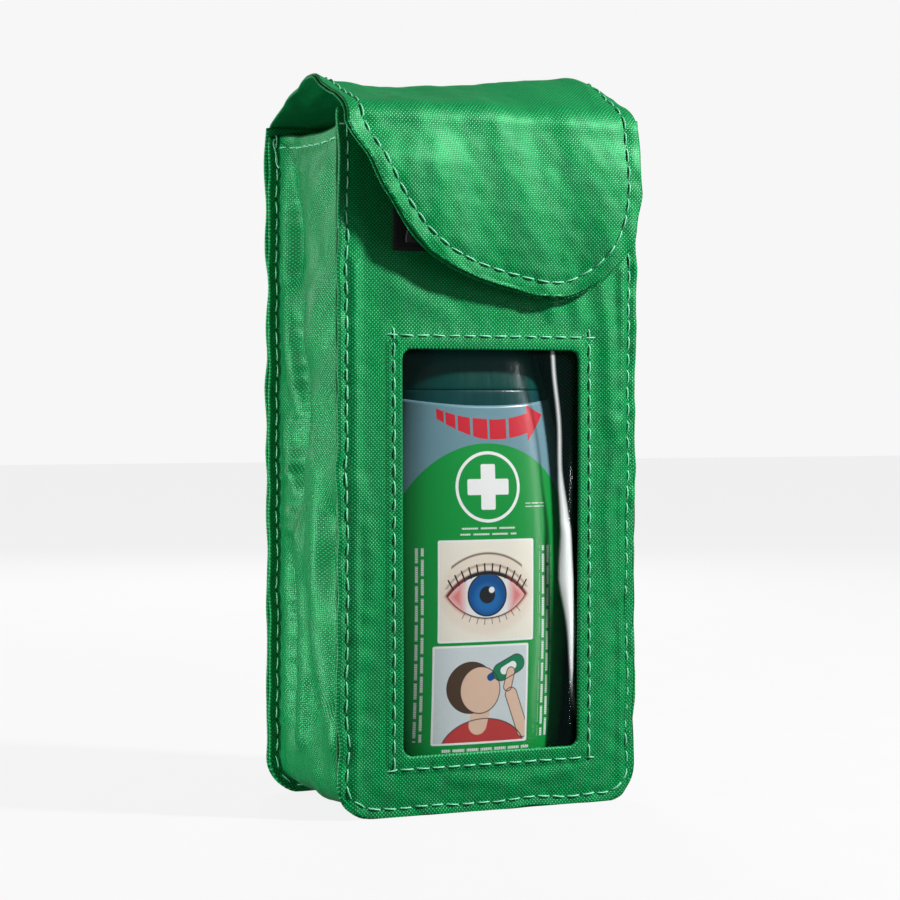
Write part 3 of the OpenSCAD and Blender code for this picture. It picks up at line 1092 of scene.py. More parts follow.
def corner_outline(low: tuple[float, float], high: tuple[float, float], radii: Sequence[float],
                   counts: tuple[int, int]) -> Array:
    """Return a box outline with rounded corners, starting at its low corner's middle.

    Args:
        low: least x and z.
        high: greatest x and z.
        radii: corner radii from the low left corner, anticlockwise.
        counts: points along the level sides and along the upright sides.

    Returns:
        The points of the closed outline, anticlockwise.
    """
    corners = [(low[0], low[1], 225.0), (high[0], low[1], 315.0), (high[0], high[1], 45.0),
               (low[0], high[1], 135.0)]
    inward = [(1, 1), (-1, 1), (-1, -1), (1, -1)]
    sides = []
    for k in range(4):
        points = []
        for corner, start in ((k, 0.0), ((k + 1) % 4, -45.0)):
            x, z, mid = corners[corner]
            r = max(radii[corner], 0.01)
            cx, cz = x + inward[corner][0] * r, z + inward[corner][1] * r
            reach = r * math.sqrt(2.0) if radii[corner] < 0.02 else r
            for step in np.linspace(start, start + 45.0, 10):
                a = math.radians(mid + step)
                points.append((cx + reach * math.cos(a), cz + reach * math.sin(a)))
        side = resampled(np.array(points), 1.0)
        travelled = travel(side)
        places = np.linspace(0.0, travelled[-1], counts[k % 2], endpoint=False)
        sides.append(points_at(side, travelled, places))
    return np.concatenate(sides)


@dataclass
class PouchSizes:
    """The pouch's sizes, in millimetres."""

    height: float = 200.0
    width: float = 95.0
    front_y: float = -30.7
    back_y: float = 26.3
    cloth: float = 1.2
    flange: float = 3.2
    corner: float = 11.0
    gusset_top: float = 197.0
    window_half: float = 28.4
    window_low: float = 16.7
    window_high: float = 133.5

    def rim(self, inset: float = 2.6) -> Array:
        """Return the seam line round a whole panel, from one upper corner to the other.

        Args:
            inset: how far inside the panel's edge it runs.

        Returns:
            The line's points.
        """
        half, r = self.width / 2.0, self.corner - inset
        arc = np.radians(np.linspace(180.0, 270.0, 12))
        left = [(-half + self.corner + r * math.cos(a), self.corner + r * math.sin(a)) for a in arc]
        right = [(-x, z) for x, z in left[::-1]]
        top = self.height - 1.0
        return np.array([(-half + inset, top), *left, *right, (half - inset, top)])


def window_bow(flat: Array) -> Array:
    """Return how far the front bows out over the bottle.

    Args:
        flat: flat coordinates, one row a point.

    Returns:
        One height a point.
    """
    x, z = flat.T
    return (0.55 * np.cos(np.clip(x / 47.5, -1, 1) * math.pi / 2.0) * smooth((150.0 - z) / 45.0)
            * smooth(z / 40.0))


@dataclass
class FrontPanel(Cloth):
    """The front panel, with its window opening folded under and stitched."""

    FOLDS = (
        (((17.0, 158.0), (19.5, 144.0)), 0.75, 2.2),
        (((26.0, 156.0), (28.5, 142.0)), 0.60, 2.0),
        (((35.0, 158.0), (38.0, 138.0), (39.0, 110.0)), 0.70, 2.6),
        (((41.5, 112.0), (38.0, 86.0), (40.0, 60.0)), 0.55, 2.2),
        (((-41.0, 96.0), (-38.0, 70.0), (-41.0, 44.0)), 0.45, 2.6),
        (((-12.0, 10.0), (6.0, 7.0), (24.0, 10.0)), 0.35, 2.4),
        (((-30.0, 150.0), (-14.0, 143.0)), 0.40, 3.0),
    )

    sizes: PouchSizes = field(default_factory=PouchSizes)

    def __post_init__(self) -> None:
        """Lay out the seams: round the edge, round the window and under the mouth."""
        s = self.sizes
        half = s.width / 2.0
        west, east = -s.window_half - 2.4, s.window_half + 3.3
        low, high = s.window_low - 3.2, s.window_high + 3.4
        over = 0.8
        self.seams = [
            Seam(s.rim()),
            Seam(np.array([(west, high + over), (west, low - over)]), pull=0.34),
            Seam(np.array([(east, high + over), (east, low - over)]), pull=0.34),
            Seam(np.array([(west - over, low), (east + over, low)]), pull=0.34),
            Seam(np.array([(west - over, high), (east + over, high)]), pull=0.34),
            Seam(np.array([(-half + 2, s.height - 4.2), (half - 2, s.height - 4.2)]), pull=0.3),
        ]

    def shape(self, flat: Array) -> Array:
        """Return the bowed panel with its folded window edge and wavy rim.

        Args:
            flat: flat coordinates, one row a point.

        Returns:
            One point a row.
        """
        s = self.sizes
        x, z = flat.T
        opening = box_reach(flat, (-s.window_half, s.window_low), (s.window_half, s.window_high))
        free = smooth((opening - 4.0) / 9.0) * smooth((158.0 - z) / 20.0)
        out = window_bow(flat) + 0.34 * ripples(flat, 30.0, 11, (1.0, 2.2)) * free
        out += 0.10 * ripples(flat, 7.0, 12) * free
        for line, height, width in self.FOLDS:
            away, _ = to_line(flat, np.array(line))
            out += height * hump(away, width) * smooth((opening - 3.0) / 5.0)
        out -= 1.3 * smooth((x - 34.0) / 14.0) ** 2 * smooth((150.0 - z) / 40.0)
        out += 0.38 * smooth((4.9 - opening) / 1.1)
        edge = s.width / 2.0 - np.abs(x)
        out += 0.72 * hump(edge - 4.7, 1.5) + 0.38 * hump(edge - 0.7, 1.0)
        rim = smooth((7.0 - edge) / 7.0)
        out += rim * (0.30 * ripples(flat, 11.0, 13, (4.0, 1.0)) - 0.25) * smooth((185.0 - z) / 20.0)
        out = np.minimum(out, 0.12 + 2.5 * smooth((160.0 - z) / 12.0))
        across = x + rim * np.sign(x) * 0.35 * ripples(flat * [0.0, 1.0], 17.0, 14)
        up = z + 0.45 * ripples(flat * [1.0, 0.0], 26.0, 15) * smooth((z - 188.0) / 12.0)
        up += 0.35 * ripples(flat * [1.0, 0.0], 15.0, 16) * smooth((10.0 - z) / 10.0)
        return np.column_stack([across, s.front_y + s.cloth / 2.0 - out, up])

    def build(self, finish: Material) -> Piece:
        """Cut the panel round its window.

        Args:
            finish: its material.

        Returns:
            The panel.
        """
        s = self.sizes
        counts = (96, 196)
        window = (-s.window_half, s.window_low), (s.window_half, s.window_high)
        panel = (-s.width / 2, 0), (s.width / 2, s.height)
        inner = corner_outline(*window, (3, 3, 3, 3), counts)
        outer = corner_outline(*panel, (s.corner, s.corner, 0.01, 0.01), counts)
        t = np.linspace(0.0, 1.0, 34)[:, None, None]
        piece = self.cut("front_panel_cloth", inner + (outer - inner) * t, closed=True)
        dress(piece, finish)
        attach(piece, "pouch")
        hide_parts("front_panel")
        return piece


def panel_rows(sizes: PouchSizes, low: float, high: float, step: float) -> Array:
    """Return a grid of flat coordinates over a whole panel with round bottom corners.

    Args:
        sizes: the pouch's sizes.
        low: height of the lowest row.
        high: height of the top row above it.
        step: the step between points.

    Returns:
        Rows by columns of flat points.
    """
    rise = np.concatenate([sizes.corner * (1 - np.cos(np.linspace(0, math.pi / 2, 12)))[:-1],
                           np.arange(sizes.corner, high, step), [high]]) + low
    r = sizes.corner
    drop = np.clip(r - (rise - low), 0.0, r)
    half = sizes.width / 2.0 - (r - np.sqrt(np.maximum(r * r - drop * drop, 0.0)))
    t = np.linspace(-1.0, 1.0, int(sizes.width / step))
    return np.stack([half[:, None] * t[None, :], np.repeat(rise[:, None], len(t), axis=1)], axis=-1)


@dataclass
class BackPanel(Cloth):
    """The back panel, sewn round its edge."""

    sizes: PouchSizes = field(default_factory=PouchSizes)

    def __post_init__(self) -> None:
        """Lay out the seam round the edge."""
        self.seams = [Seam(self.sizes.rim())]

    def shape(self, flat: Array) -> Array:
        """Return the panel with soft waves away from the patches sewn on it.

        Args:
            flat: flat coordinates, one row a point.

        Returns:
            One point a row.
        """
        s = self.sizes
        x, z = flat.T
        patch = box_reach(flat, (-24.0, 56.0), (24.0, 200.0))
        free = smooth((patch - 2.0) / 12.0) * smooth((192.0 - z) / 20.0)
        out = 0.5 * ripples(flat, 34.0, 21, (1.0, 1.8)) * free - 0.3 * free
        rim = smooth((np.abs(x) - s.width / 2.0 + 7.0) / 7.0)
        out += rim * 0.3 * ripples(flat, 12.0, 23, (4.0, 1.0)) * smooth((190.0 - z) / 20.0)
        across = x + rim * np.sign(x) * 0.35 * ripples(flat * [0.0, 1.0], 17.0, 24)
        return np.column_stack([across, s.back_y - s.cloth / 2.0 + out, z])

    def build(self, finish: Material) -> Piece:
        """Cut the panel.

        Args:
            finish: its material.

        Returns:
            The panel.
        """
        piece = self.cut("back_panel_cloth", panel_rows(self.sizes, 0.0, self.sizes.height, 1.3))
        dress(piece, finish)
        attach(piece, "pouch")
        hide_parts("back_panel")
        return piece


@dataclass
class SideGusset(Cloth):
    """The long strip that runs down one side, under the bottle and up the other side."""

    sizes: PouchSizes = field(default_factory=PouchSizes)
    lip: float = 3.5

    def __post_init__(self) -> None:
        """Lay out the path, the folds and the seams."""
        s = self.sizes
        self.inset = s.flange + s.cloth / 2.0
        self.radius = s.corner - self.inset
        half = s.width / 2.0 - self.inset
        arc = np.radians(np.linspace(180.0, 270.0, 24))
        left = np.column_stack([-half + self.radius + self.radius * np.cos(arc),
                                self.inset + self.radius + self.radius * np.sin(arc)])
        right = left[::-1] * [-1.0, 1.0]
        self.path = np.concatenate([[(-half, s.gusset_top)], left, right, [(half, s.gusset_top)]])
        self.travelled = travel(self.path)
        self.length = float(self.travelled[-1])
        turn = math.pi / 2.0
        self.front = s.front_y + s.cloth * 1.5
        self.back = s.back_y - s.cloth * 1.5
        self.wall = self.back - self.front - 2.0
        self.depth = 2.0 * (self.lip - 1.0) + 2.0 * turn + self.wall
        self.start = self.lip - 1.0 + turn
        end = self.length
        self.folds = [self.fold(*item) for item in (
            ([(.45, 192), (.42, 150), (.40, 110), (.46, 88), (.52, 75)], 1.5, 8.5, 0),
            ([(.86, 196), (.84, 175), (.78, 140), (.72, 110), (.68, 90)], -3.2, 7.5, 0),
            ([(.62, 104), (.67, 88), (.60, 62), (.56, 38), (.60, 20)], 1.7, 3.4, 0),
            ([(.42, 97), (.40, 62), (.36, 46), (.22, 30), (.10, 21)], 2.0, 4.6, 0),
            ([(.20, 84), (.19, 52), (.10, 36)], -1.9, 5.2, 0),
            ([(.80, 70), (.84, 40), (.78, 22)], -2.2, 5.5, 0),
            ([(.18, 196), (.14, 160), (.16, 120)], -0.9, 5.0, 0),
            ([(.98, 150), (.90, 128), (.84, 118)], 1.1, 2.6, 0),
            ([(.96, 112), (.86, 96), (.80, 92)], 0.9, 2.4, 0),
            ([(.50, 190), (.46, 150), (.44, 112), (.50, 80)], 1.8, 9.0, 1),
            ([(.80, 185), (.76, 150), (.70, 118), (.66, 96)], -2.8, 8.0, 1),
            ([(.58, 92), (.54, 60), (.60, 34)], 1.6, 3.8, 1),
            ([(.36, 90), (.30, 58), (.18, 32)], -1.8, 5.6, 1),
        )]
        mouth = np.array([(3.0, self.start + 1.0), (3.0, self.start + self.wall - 1.0)])
        other = mouth * [-1.0, 1.0] + [end, 0.0]
        rear = np.array([(1.0, self.depth - 1.9), (end - 1.0, self.depth - 1.9)])
        fore = np.array([(1.0, 1.9), (end - 1.0, 1.9)])
        pulls = ((mouth, 0.45), (other, 0.45), (rear, 0.25), (fore, 0.1))
        self.seams = [Seam(line, pull=pull) for line, pull in pulls]

    def fold(self, points: Sequence[tuple[float, float]], height: float, width: float,
             right: int) -> tuple[Array, float, float]:
        """Return a fold's line on the flat strip, with its height and its width.

        Args:
            points: places along and across the strip.
            height: the fold's height.
            width: its width.
            right: 1 on the right side, 0 on the left.

        Returns:
            The line, the height and the width.
        """
        line = np.array([(self.sizes.gusset_top - z, self.start + t * self.wall) for t, z in points])
        if right:
            line[:, 0] = self.length - line[:, 0]
        return line, height, width

    def profile(self, v: Array) -> tuple[Array, Array]:
        """Return the outward step and the depth of the strip at v across it.

        Args:
            v: places across the strip.

        Returns:
            The outward step and the depth.
        """
        turn = math.pi / 2.0
        flange = self.lip - 1.0
        w = np.where(v < self.depth / 2.0, v, self.depth - v)
        bend = np.clip((w - flange), 0.0, turn)
        out = np.where(w < flange, self.lip - w, 1.0 - np.sin(bend))
        deep = (1.0 - np.cos(bend)) + np.clip(w - flange - turn, 0.0, None)
        return out, np.where(v < self.depth / 2.0, self.front + deep, self.back - deep)

    def shape(self, flat: Array) -> Array:
        """Return the strip with its folds, bulges and creases.

        Args:
            flat: flat coordinates, one row a point.

        Returns:
            One point a row.
        """
        s, v = flat.T
        x = np.interp(s, self.travelled, self.path[:, 0])
        z = np.interp(s, self.travelled, self.path[:, 1])
        ahead = np.clip(s + 0.6, 0, self.length)
        behind = np.clip(s - 0.6, 0, self.length)
        far, near = ([np.interp(place, self.travelled, self.path[:, k]) for k in (0, 1)]
                     for place in (ahead, behind))
        tx, tz = far[0] - near[0], far[1] - near[1]
        size = np.hypot(tx, tz)
        nx, nz = tz / size, -tx / size
        out, y = self.profile(v)
        t = np.clip((v - self.start) / self.wall, 0.0, 1.0)
        hold = np.sin(math.pi * t) ** 0.8
        ease = smooth(t / 0.12) * smooth((1.0 - t) / 0.12)
        end = np.minimum(s, self.length - s)
        side = smooth(end / 14.0)
        bulge = hold * (1.1 * smooth((60.0 - z) / 60.0) - 0.6 * hump(z - 120.0, 50.0))
        moved = bulge
        for line, height, width in self.folds:
            away, _ = to_line(flat, line)
            moved = moved + 1.45 * height * hump(away, width) * ease
        moved += ease * (0.75 * ripples(flat, 19.0, 31, (1.9, 1.0))
                         + 0.20 * ripples(flat, 7.0, 32, (2.0, 1.0)))
        moved += ease * 0.5 * np.clip(ripples(flat, 9.0, 33, (0.5, 1.6)), 0.3, 2.0) * hump(t - 0.85, 0.18)
        edge = 1.0 - ease
        moved += edge * 0.22 * ripples(flat, 12.0, 34, (1.0, 5.0))
        lift = np.where(t * (1 - t) > 0.0, np.clip(moved, -5.0, 3.0), moved) * (0.25 + 0.75 * side)
        out = out + lift
        rise = 0.5 * ripples(flat * [0.0, 1.0], 22.0, 35) * smooth((16.0 - end) / 16.0)
        sag = 1.4 * np.sin(math.pi * t) * smooth((30.0 - end) / 30.0)
        return np.column_stack([x + nx * out, y, z + nz * out + (rise - sag)])

    def build(self, finish: Material) -> Piece:
        """Cut the strip.

        Args:
            finish: its material.

        Returns:
            The strip.
        """
        across = np.concatenate([np.linspace(0, self.start, 9)[:-1],
                                 np.linspace(self.start, self.start + self.wall, 52)[:-1],
                                 np.linspace(self.start + self.wall, self.depth, 9)])
        ahead = np.linspace(0.0, self.length, 400)
        flat = np.stack(np.meshgrid(ahead, across), axis=-1)
        piece = self.cut("side_gusset_cloth", flat)
        dress(piece, finish)
        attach(piece, "pouch")
        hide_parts("side_gusset")
        self.depth * MM
        return piece

    def hem(self, name: str, right: bool, finish: Material) -> Piece:
        """Cut the folded hem inside the mouth on one side.

        Args:
            name: the piece's name.
            right: on the right side.
            finish: its material.

        Returns:
            The hem.
        """
        lining = GussetHem(thickness=0.8, side=self.side, strip=self)
        along = np.linspace(0.6, 9.4, 10)
        if right:
            along = self.length - along
        across = np.linspace(self.start + 0.6, self.start + self.wall - 0.6, 50)
        piece = lining.cut(name, np.stack(np.meshgrid(along, across), axis=-1))
        dress(piece, finish)
        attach(piece, "pouch")
        return piece


@dataclass
class GussetHem(Cloth):
    """The turned-in edge of the gusset, just inside its mouth."""

    strip: SideGusset | None = None

    def shape(self, flat: Array) -> Array:
        """Return the strip's surface moved just inside it."""
        normal = normals_on(self.strip.shape, flat, self.strip.side)
        return self.strip.surface(flat) - normal * 1.1


@dataclass
class WindowFilm(Cloth):
    """The clear film sewn behind the window, creased where it turns round the bottle."""

    sizes: PouchSizes = field(default_factory=PouchSizes)
    creases: tuple = (
        (((17.6, 130.0), (20.4, 118.0), (23.4, 92.0), (24.6, 70.0), (25.2, 46.0), (24.6, 24.0)), 0.55, 3.8),
        (((24.4, 80.0), (25.6, 62.0), (25.0, 40.0)), 0.7, 2.4),
        (((10.0, 129.0), (15.0, 124.0), (18.0, 115.0)), 0.16, 1.2),
    )

    def shape(self, flat: Array) -> Array:
        """Return the film with its slow waves.

        Args:
            flat: flat coordinates, one row a point.

        Returns:
            One point a row.
        """
        y = self.sizes.front_y + self.sizes.cloth + self.thickness / 2.0
        inside = box_reach(flat, (-28.0, 17.0), (28.0, 133.0))
        wave = 0.16 * ripples(flat, 42.0, 41, (0.8, 1.6)) * smooth(-inside / 10.0)
        for line, height, width in self.creases:
            away, _ = to_line(flat, np.array(line))
            wave += height * hump(away, width) * smooth(-inside / 2.5)
        return np.column_stack([flat[:, 0], y - window_bow(flat) - wave, flat[:, 1]])

    def build(self, finish: Material) -> Piece:
        """Cut the film.

        Args:
            finish: its material.

        Returns:
            The film.
        """
        x = np.linspace(-34.0, 34.0, 110)
        z = np.linspace(11.0, 139.0, 120)
        piece = self.cut("window_film_sheet", np.stack(np.meshgrid(x, z), axis=-1))
        dress(piece, finish)
        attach(piece, "pouch")
        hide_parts("window_film")
        return piece


@dataclass
class Flap(Cloth):
    """One ply of the flap: sewn behind the back panel, over the mouth and down the front."""

    EDGE_Q = tuple(np.linspace(0.0, 1.0, 11))
    LEFT_X = (19.0, 12.0, 6.2, -4.6, -14.0, -21.4, -27.4, -32.4, -36.8, -41.2, -45.9)
    RIGHT_X = (19.0, 23.4, 27.2, 31.6, 36.0, 39.8, 43.0, 45.0, 45.9, 46.1, 46.0)

    offset: float = 0.4
    proud: float = 0.0
    drop: float = 48.1
    sizes: PouchSizes = field(default_factory=PouchSizes)

    def __post_init__(self) -> None:
        """Trace the side view."""
        runs = [(7.0, 0.0), (2.0, -70.0), (28.5, 0.0), (10.7, -44.0), (19.5, 0.0), (8.1, -66.0), (48.5, 0.0)]
        here, heading, points, headings = np.array([26.75, 193.0]), 90.0, [], []
        for length, turn in runs:
            steps = max(int(length / 0.5), 2)
            for _ in range(steps):
                points.append(here.copy())
                headings.append(heading)
                mid = math.radians(heading + turn / steps / 2.0)
                here = here + np.array([-math.cos(mid), math.sin(mid)]) * length / steps
                heading += turn / steps
        points.append(here.copy())
        headings.append(heading)
        self.line = np.array(points)
        self.heading = np.array(headings)
        self.travelled = travel(self.line)
        self.hang = 75.8
        self.tip = self.hang + self.drop

    def edge(self, s: Array) -> tuple[Array, Array]:
        """Return the middle and the half width of the flap at s along it.

        Args:
            s: places along the flap.

        Returns:
            The middle and the half width.
        """
        q = np.sqrt(np.clip(1.0 - (s - self.hang) / (self.drop + self.proud), 0.0, 1.0))
        left = np.interp(q, self.EDGE_Q, self.LEFT_X) - self.proud * smooth(q / 0.3)
        right = np.interp(q, self.EDGE_Q, self.RIGHT_X) + self.proud * smooth(q / 0.3)
        tuck = 0.5 * np.clip(14.0 - s, 0.0, 14.0) / 14.0
        return (left + right) / 2.0, (right - left) / 2.0 - tuck

    def outline(self, inset: float) -> Array:
        """Return the line that runs round the flap inside its edge.

        Args:
            inset: how far inside the edge.

        Returns:
            The line's points.
        """
        q = np.linspace(1.0, 0.0, 70)
        s = np.concatenate([np.linspace(14.0, self.hang, 50)[:-1], self.hang + self.drop * (1.0 - q**2)])
        middle, half = self.edge(s)
        rim = np.concatenate([np.column_stack([middle - half, s]),
                              np.column_stack([middle + half, s])[::-1][1:]])
        rim = softened(rim, 1.0, 12)
        way = np.gradient(rim, axis=0)
        way /= np.linalg.norm(way, axis=1, keepdims=True)
        return softened(rim + np.column_stack([way[:, 1], -way[:, 0]]) * inset, 1.0, 6)

    def shape(self, flat: Array) -> Array:
        """Return the ply with its ridge, its flared sides and its slanting waves.

        Args:
            flat: flat coordinates, one row a point.

        Returns:
            One point a row.
        """
        x, s = flat.T
        y = np.interp(s, self.travelled, self.line[:, 0])
        z = np.interp(s, self.travelled, self.line[:, 1])
        angle = np.radians(np.interp(s, self.travelled, self.heading))
        ny, nz = np.sin(angle), np.cos(angle)
        hanging = smooth((s - self.hang) / 12.0)
        free = np.clip((s - self.hang) / 47.7, 0.0, 1.0)
        ridge = smooth((s - 12.0) / 26.0) * smooth((self.hang - s) / 26.0)
        rise = np.interp(x, [-47, -40, -30, -5, 22, 38, 47], [0.4, -1.6, -2.4, -1.5, 1.6, 2.6, -0.6])
        out = 2.2 * np.sin(math.pi * free) * np.cos(np.clip(x / 50.0, -1, 1) * math.pi / 2.0) ** 0.6
        out += 1.9 * smooth((x - 22.0) / 24.0) * hanging * (1.0 - 0.4 * free)
        out += 3.6 * smooth((2.0 - x) / 40.0) * hanging
        out += 0.9 * free**2
        wave = np.sin((x + 5.0 - 0.32 * s) * 2.0 * math.pi / 25.0)
        out += 0.36 * wave * smooth((s - 30.0) / 25.0) * (0.8 + 0.25 * ripples(flat, 50.0, 55))
        out += 0.45 * ripples(flat, 44.0, 51) * smooth((s - 16.0) / 14.0)
        out += 0.10 * ripples(flat, 7.0, 52) * smooth((s - 16.0) / 8.0)
        middle, half = self.edge(s)
        rim = smooth((np.abs(x - middle) - half + 5.0) / 5.0)
        out += rim * 0.25 * ripples(flat, 10.0, 53) * smooth((s - 16.0) / 8.0)
        wide = x + rim * np.sign(x) * 0.3 * ripples(flat * [0.0, 1.0], 15.0, 54) * smooth((s - 16.0) / 8.0)
        off = out + self.offset
        return np.column_stack([wide, y + ny * off, z + nz * off + ridge * rise])

    def grid(self) -> Array:
        """Return the flat grid of the ply, with rows that close in on its round end.

        Returns:
            Rows by columns of flat points.
        """
        q = np.linspace(1.0, 0.035, 60)[1:]
        s = np.concatenate([np.linspace(0.0, 14.0, 14)[:-1], np.linspace(14.0, self.hang, 56),
                            self.hang + (self.drop + self.proud) * (1.0 - q**2)])
        middle, half = self.edge(s)
        t = np.sin(np.linspace(-1.0, 1.0, 88) * math.pi / 2.0 * 0.86) / math.sin(math.pi / 2.0 * 0.86)
        x = middle[:, None] + half[:, None] * t[None, :]
        return np.stack([x, np.repeat(s[:, None], len(t), axis=1)], axis=-1)

    def build(self, name: str, node: str, finish: Material, slot: str,
              rests: Sequence[str]) -> Piece:
        """Cut the ply.

        Args:
            name: the piece's name.
            node: the frame's node that it stands for.
            finish: its material.
            slot: the record's material slot; not used.
            rests: what it rests on; not used.

        Returns:
            The ply.
        """
        piece = self.cut(name, self.grid())
        dress(piece, finish)
        self.follow(piece)
        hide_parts(node)
        return piece

    @staticmethod
    def follow(piece: Piece) -> None:
        """Bake a piece of the flap's transform into its mesh."""
        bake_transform(piece)


@dataclass
class TapePatch(Cloth):
    """A patch of hook or loop tape lying on another cloth."""

    base: Cloth | None = None
    lift: float = 0.8
    low: tuple[float, float] = (-31.0, 161.0)
    high: tuple[float, float] = (31.0, 186.0)

    def shape(self, flat: Array) -> Array:
        """Return the base cloth's surface moved out by the lift."""
        normal = normals_on(self.base.shape, flat, self.base.side)
        return self.base.shape(flat) + normal * self.lift

    def build(self, name: str, node: str, body: str, face: TapeFace, finish: Material,
              trees: dict[Sprig, SprigTree]) -> list[Piece]:
        """Cut the tape and grow its hooks or loops.

        Args:
            name: the tape's name.
            node: the frame's node that it stands for.
            body: the body it rides on.
            face: hooks or loops.
            finish: the tape's material.
            trees: the node trees of the sprigs.

        Returns:
            The tape and its pile.
        """
        x = np.linspace(self.low[0], self.high[0], 50)
        s = np.linspace(self.low[1], self.high[1], 24)
        tape = self.cut(name, np.stack(np.meshgrid(x, s), axis=-1))
        pitch = 1.25 if face is TapeFace.HOOK else 1.05
        px = np.arange(self.low[0] + 1.0, self.high[0] - 0.6, pitch)
        ps = np.arange(self.low[1] + 1.0, self.high[1] - 0.6, pitch)
        flat = np.stack(np.meshgrid(px, ps), axis=-1).reshape(-1, 2)
        rng = np.random.default_rng(7 if face is TapeFace.HOOK else 8)
        flat = flat + rng.uniform(-0.12, 0.12, flat.shape) * (1.0 if face is TapeFace.HOOK else 3.0)
        facing = normals_on(self.surface, flat, self.side)
        place = self.surface(flat) + facing * self.thickness / 2.0
        if face is TapeFace.HOOK:
            along = np.cross(facing, [0.0, 0.0, 1.0])
        else:
            along = rng.normal(size=flat.shape[:1] + (3,))
        along = along - facing * np.sum(along * facing, axis=1, keepdims=True)
        along /= np.linalg.norm(along, axis=1, keepdims=True)
        sprig = Sprig.HOOK if face is TapeFace.HOOK else Sprig.LOOP
        height, radius = 0.42, 0.07
        pile = trees[sprig].grow(f"{name}_pile", place, along, facing, height, radius, 3, finish)
        for piece in (tape, pile):
            dress(piece, finish)
            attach(piece, body)
        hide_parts(node)
        return [tape, pile]


@dataclass
class FlatPatch(Cloth):
    """A small flat piece of cloth or strap that follows a side outline behind the back panel."""

    side_line: Array = field(default_factory=lambda: np.zeros((2, 2)))
    half_width: float = 19.0
    wave: float = 0.12
    seed: int = 61

    def __post_init__(self) -> None:
        """Measure the side outline, given as depth and height."""
        self.travelled = travel(self.side_line)

    def shape(self, flat: Array) -> Array:
        """Return the patch with slight waves.

        Args:
            flat: flat coordinates, one row a point.

        Returns:
            One point a row.
        """
        x, s = flat.T
        y = np.interp(s, self.travelled, self.side_line[:, 0])
        z = np.interp(s, self.travelled, self.side_line[:, 1])
        rim = smooth((np.abs(x) - self.half_width + 3.0) / 3.0)
        wide = x + rim * np.sign(x) * self.wave * ripples(flat * [0.0, 1.0], 9.0, self.seed)
        return np.column_stack([wide, y + self.wave * ripples(flat, 12.0, self.seed + 1), z])

    def grid(self, step: float, round_ends: float = 1.0) -> Array:
        """Return an even flat grid, with slightly rounded ends.

        Args:
            step: the step between points.
            round_ends: round the corners.

        Returns:
            Rows by columns of flat points.
        """
        s = np.linspace(0.0, self.travelled[-1], max(int(self.travelled[-1] / step), 6))
        near = np.minimum(s, self.travelled[-1] - s)
        share = np.clip(near / max(round_ends, 0.1), 0, 1)
        cut = round_ends * (1.0 - np.sqrt(share * (2 - share)))
        t = np.linspace(-1.0, 1.0, max(int(2 * self.half_width / step), 8))
        x = (self.half_width - cut)[:, None] * t[None, :]
        return np.stack([x, np.repeat(s[:, None], len(t), axis=1)], axis=-1)


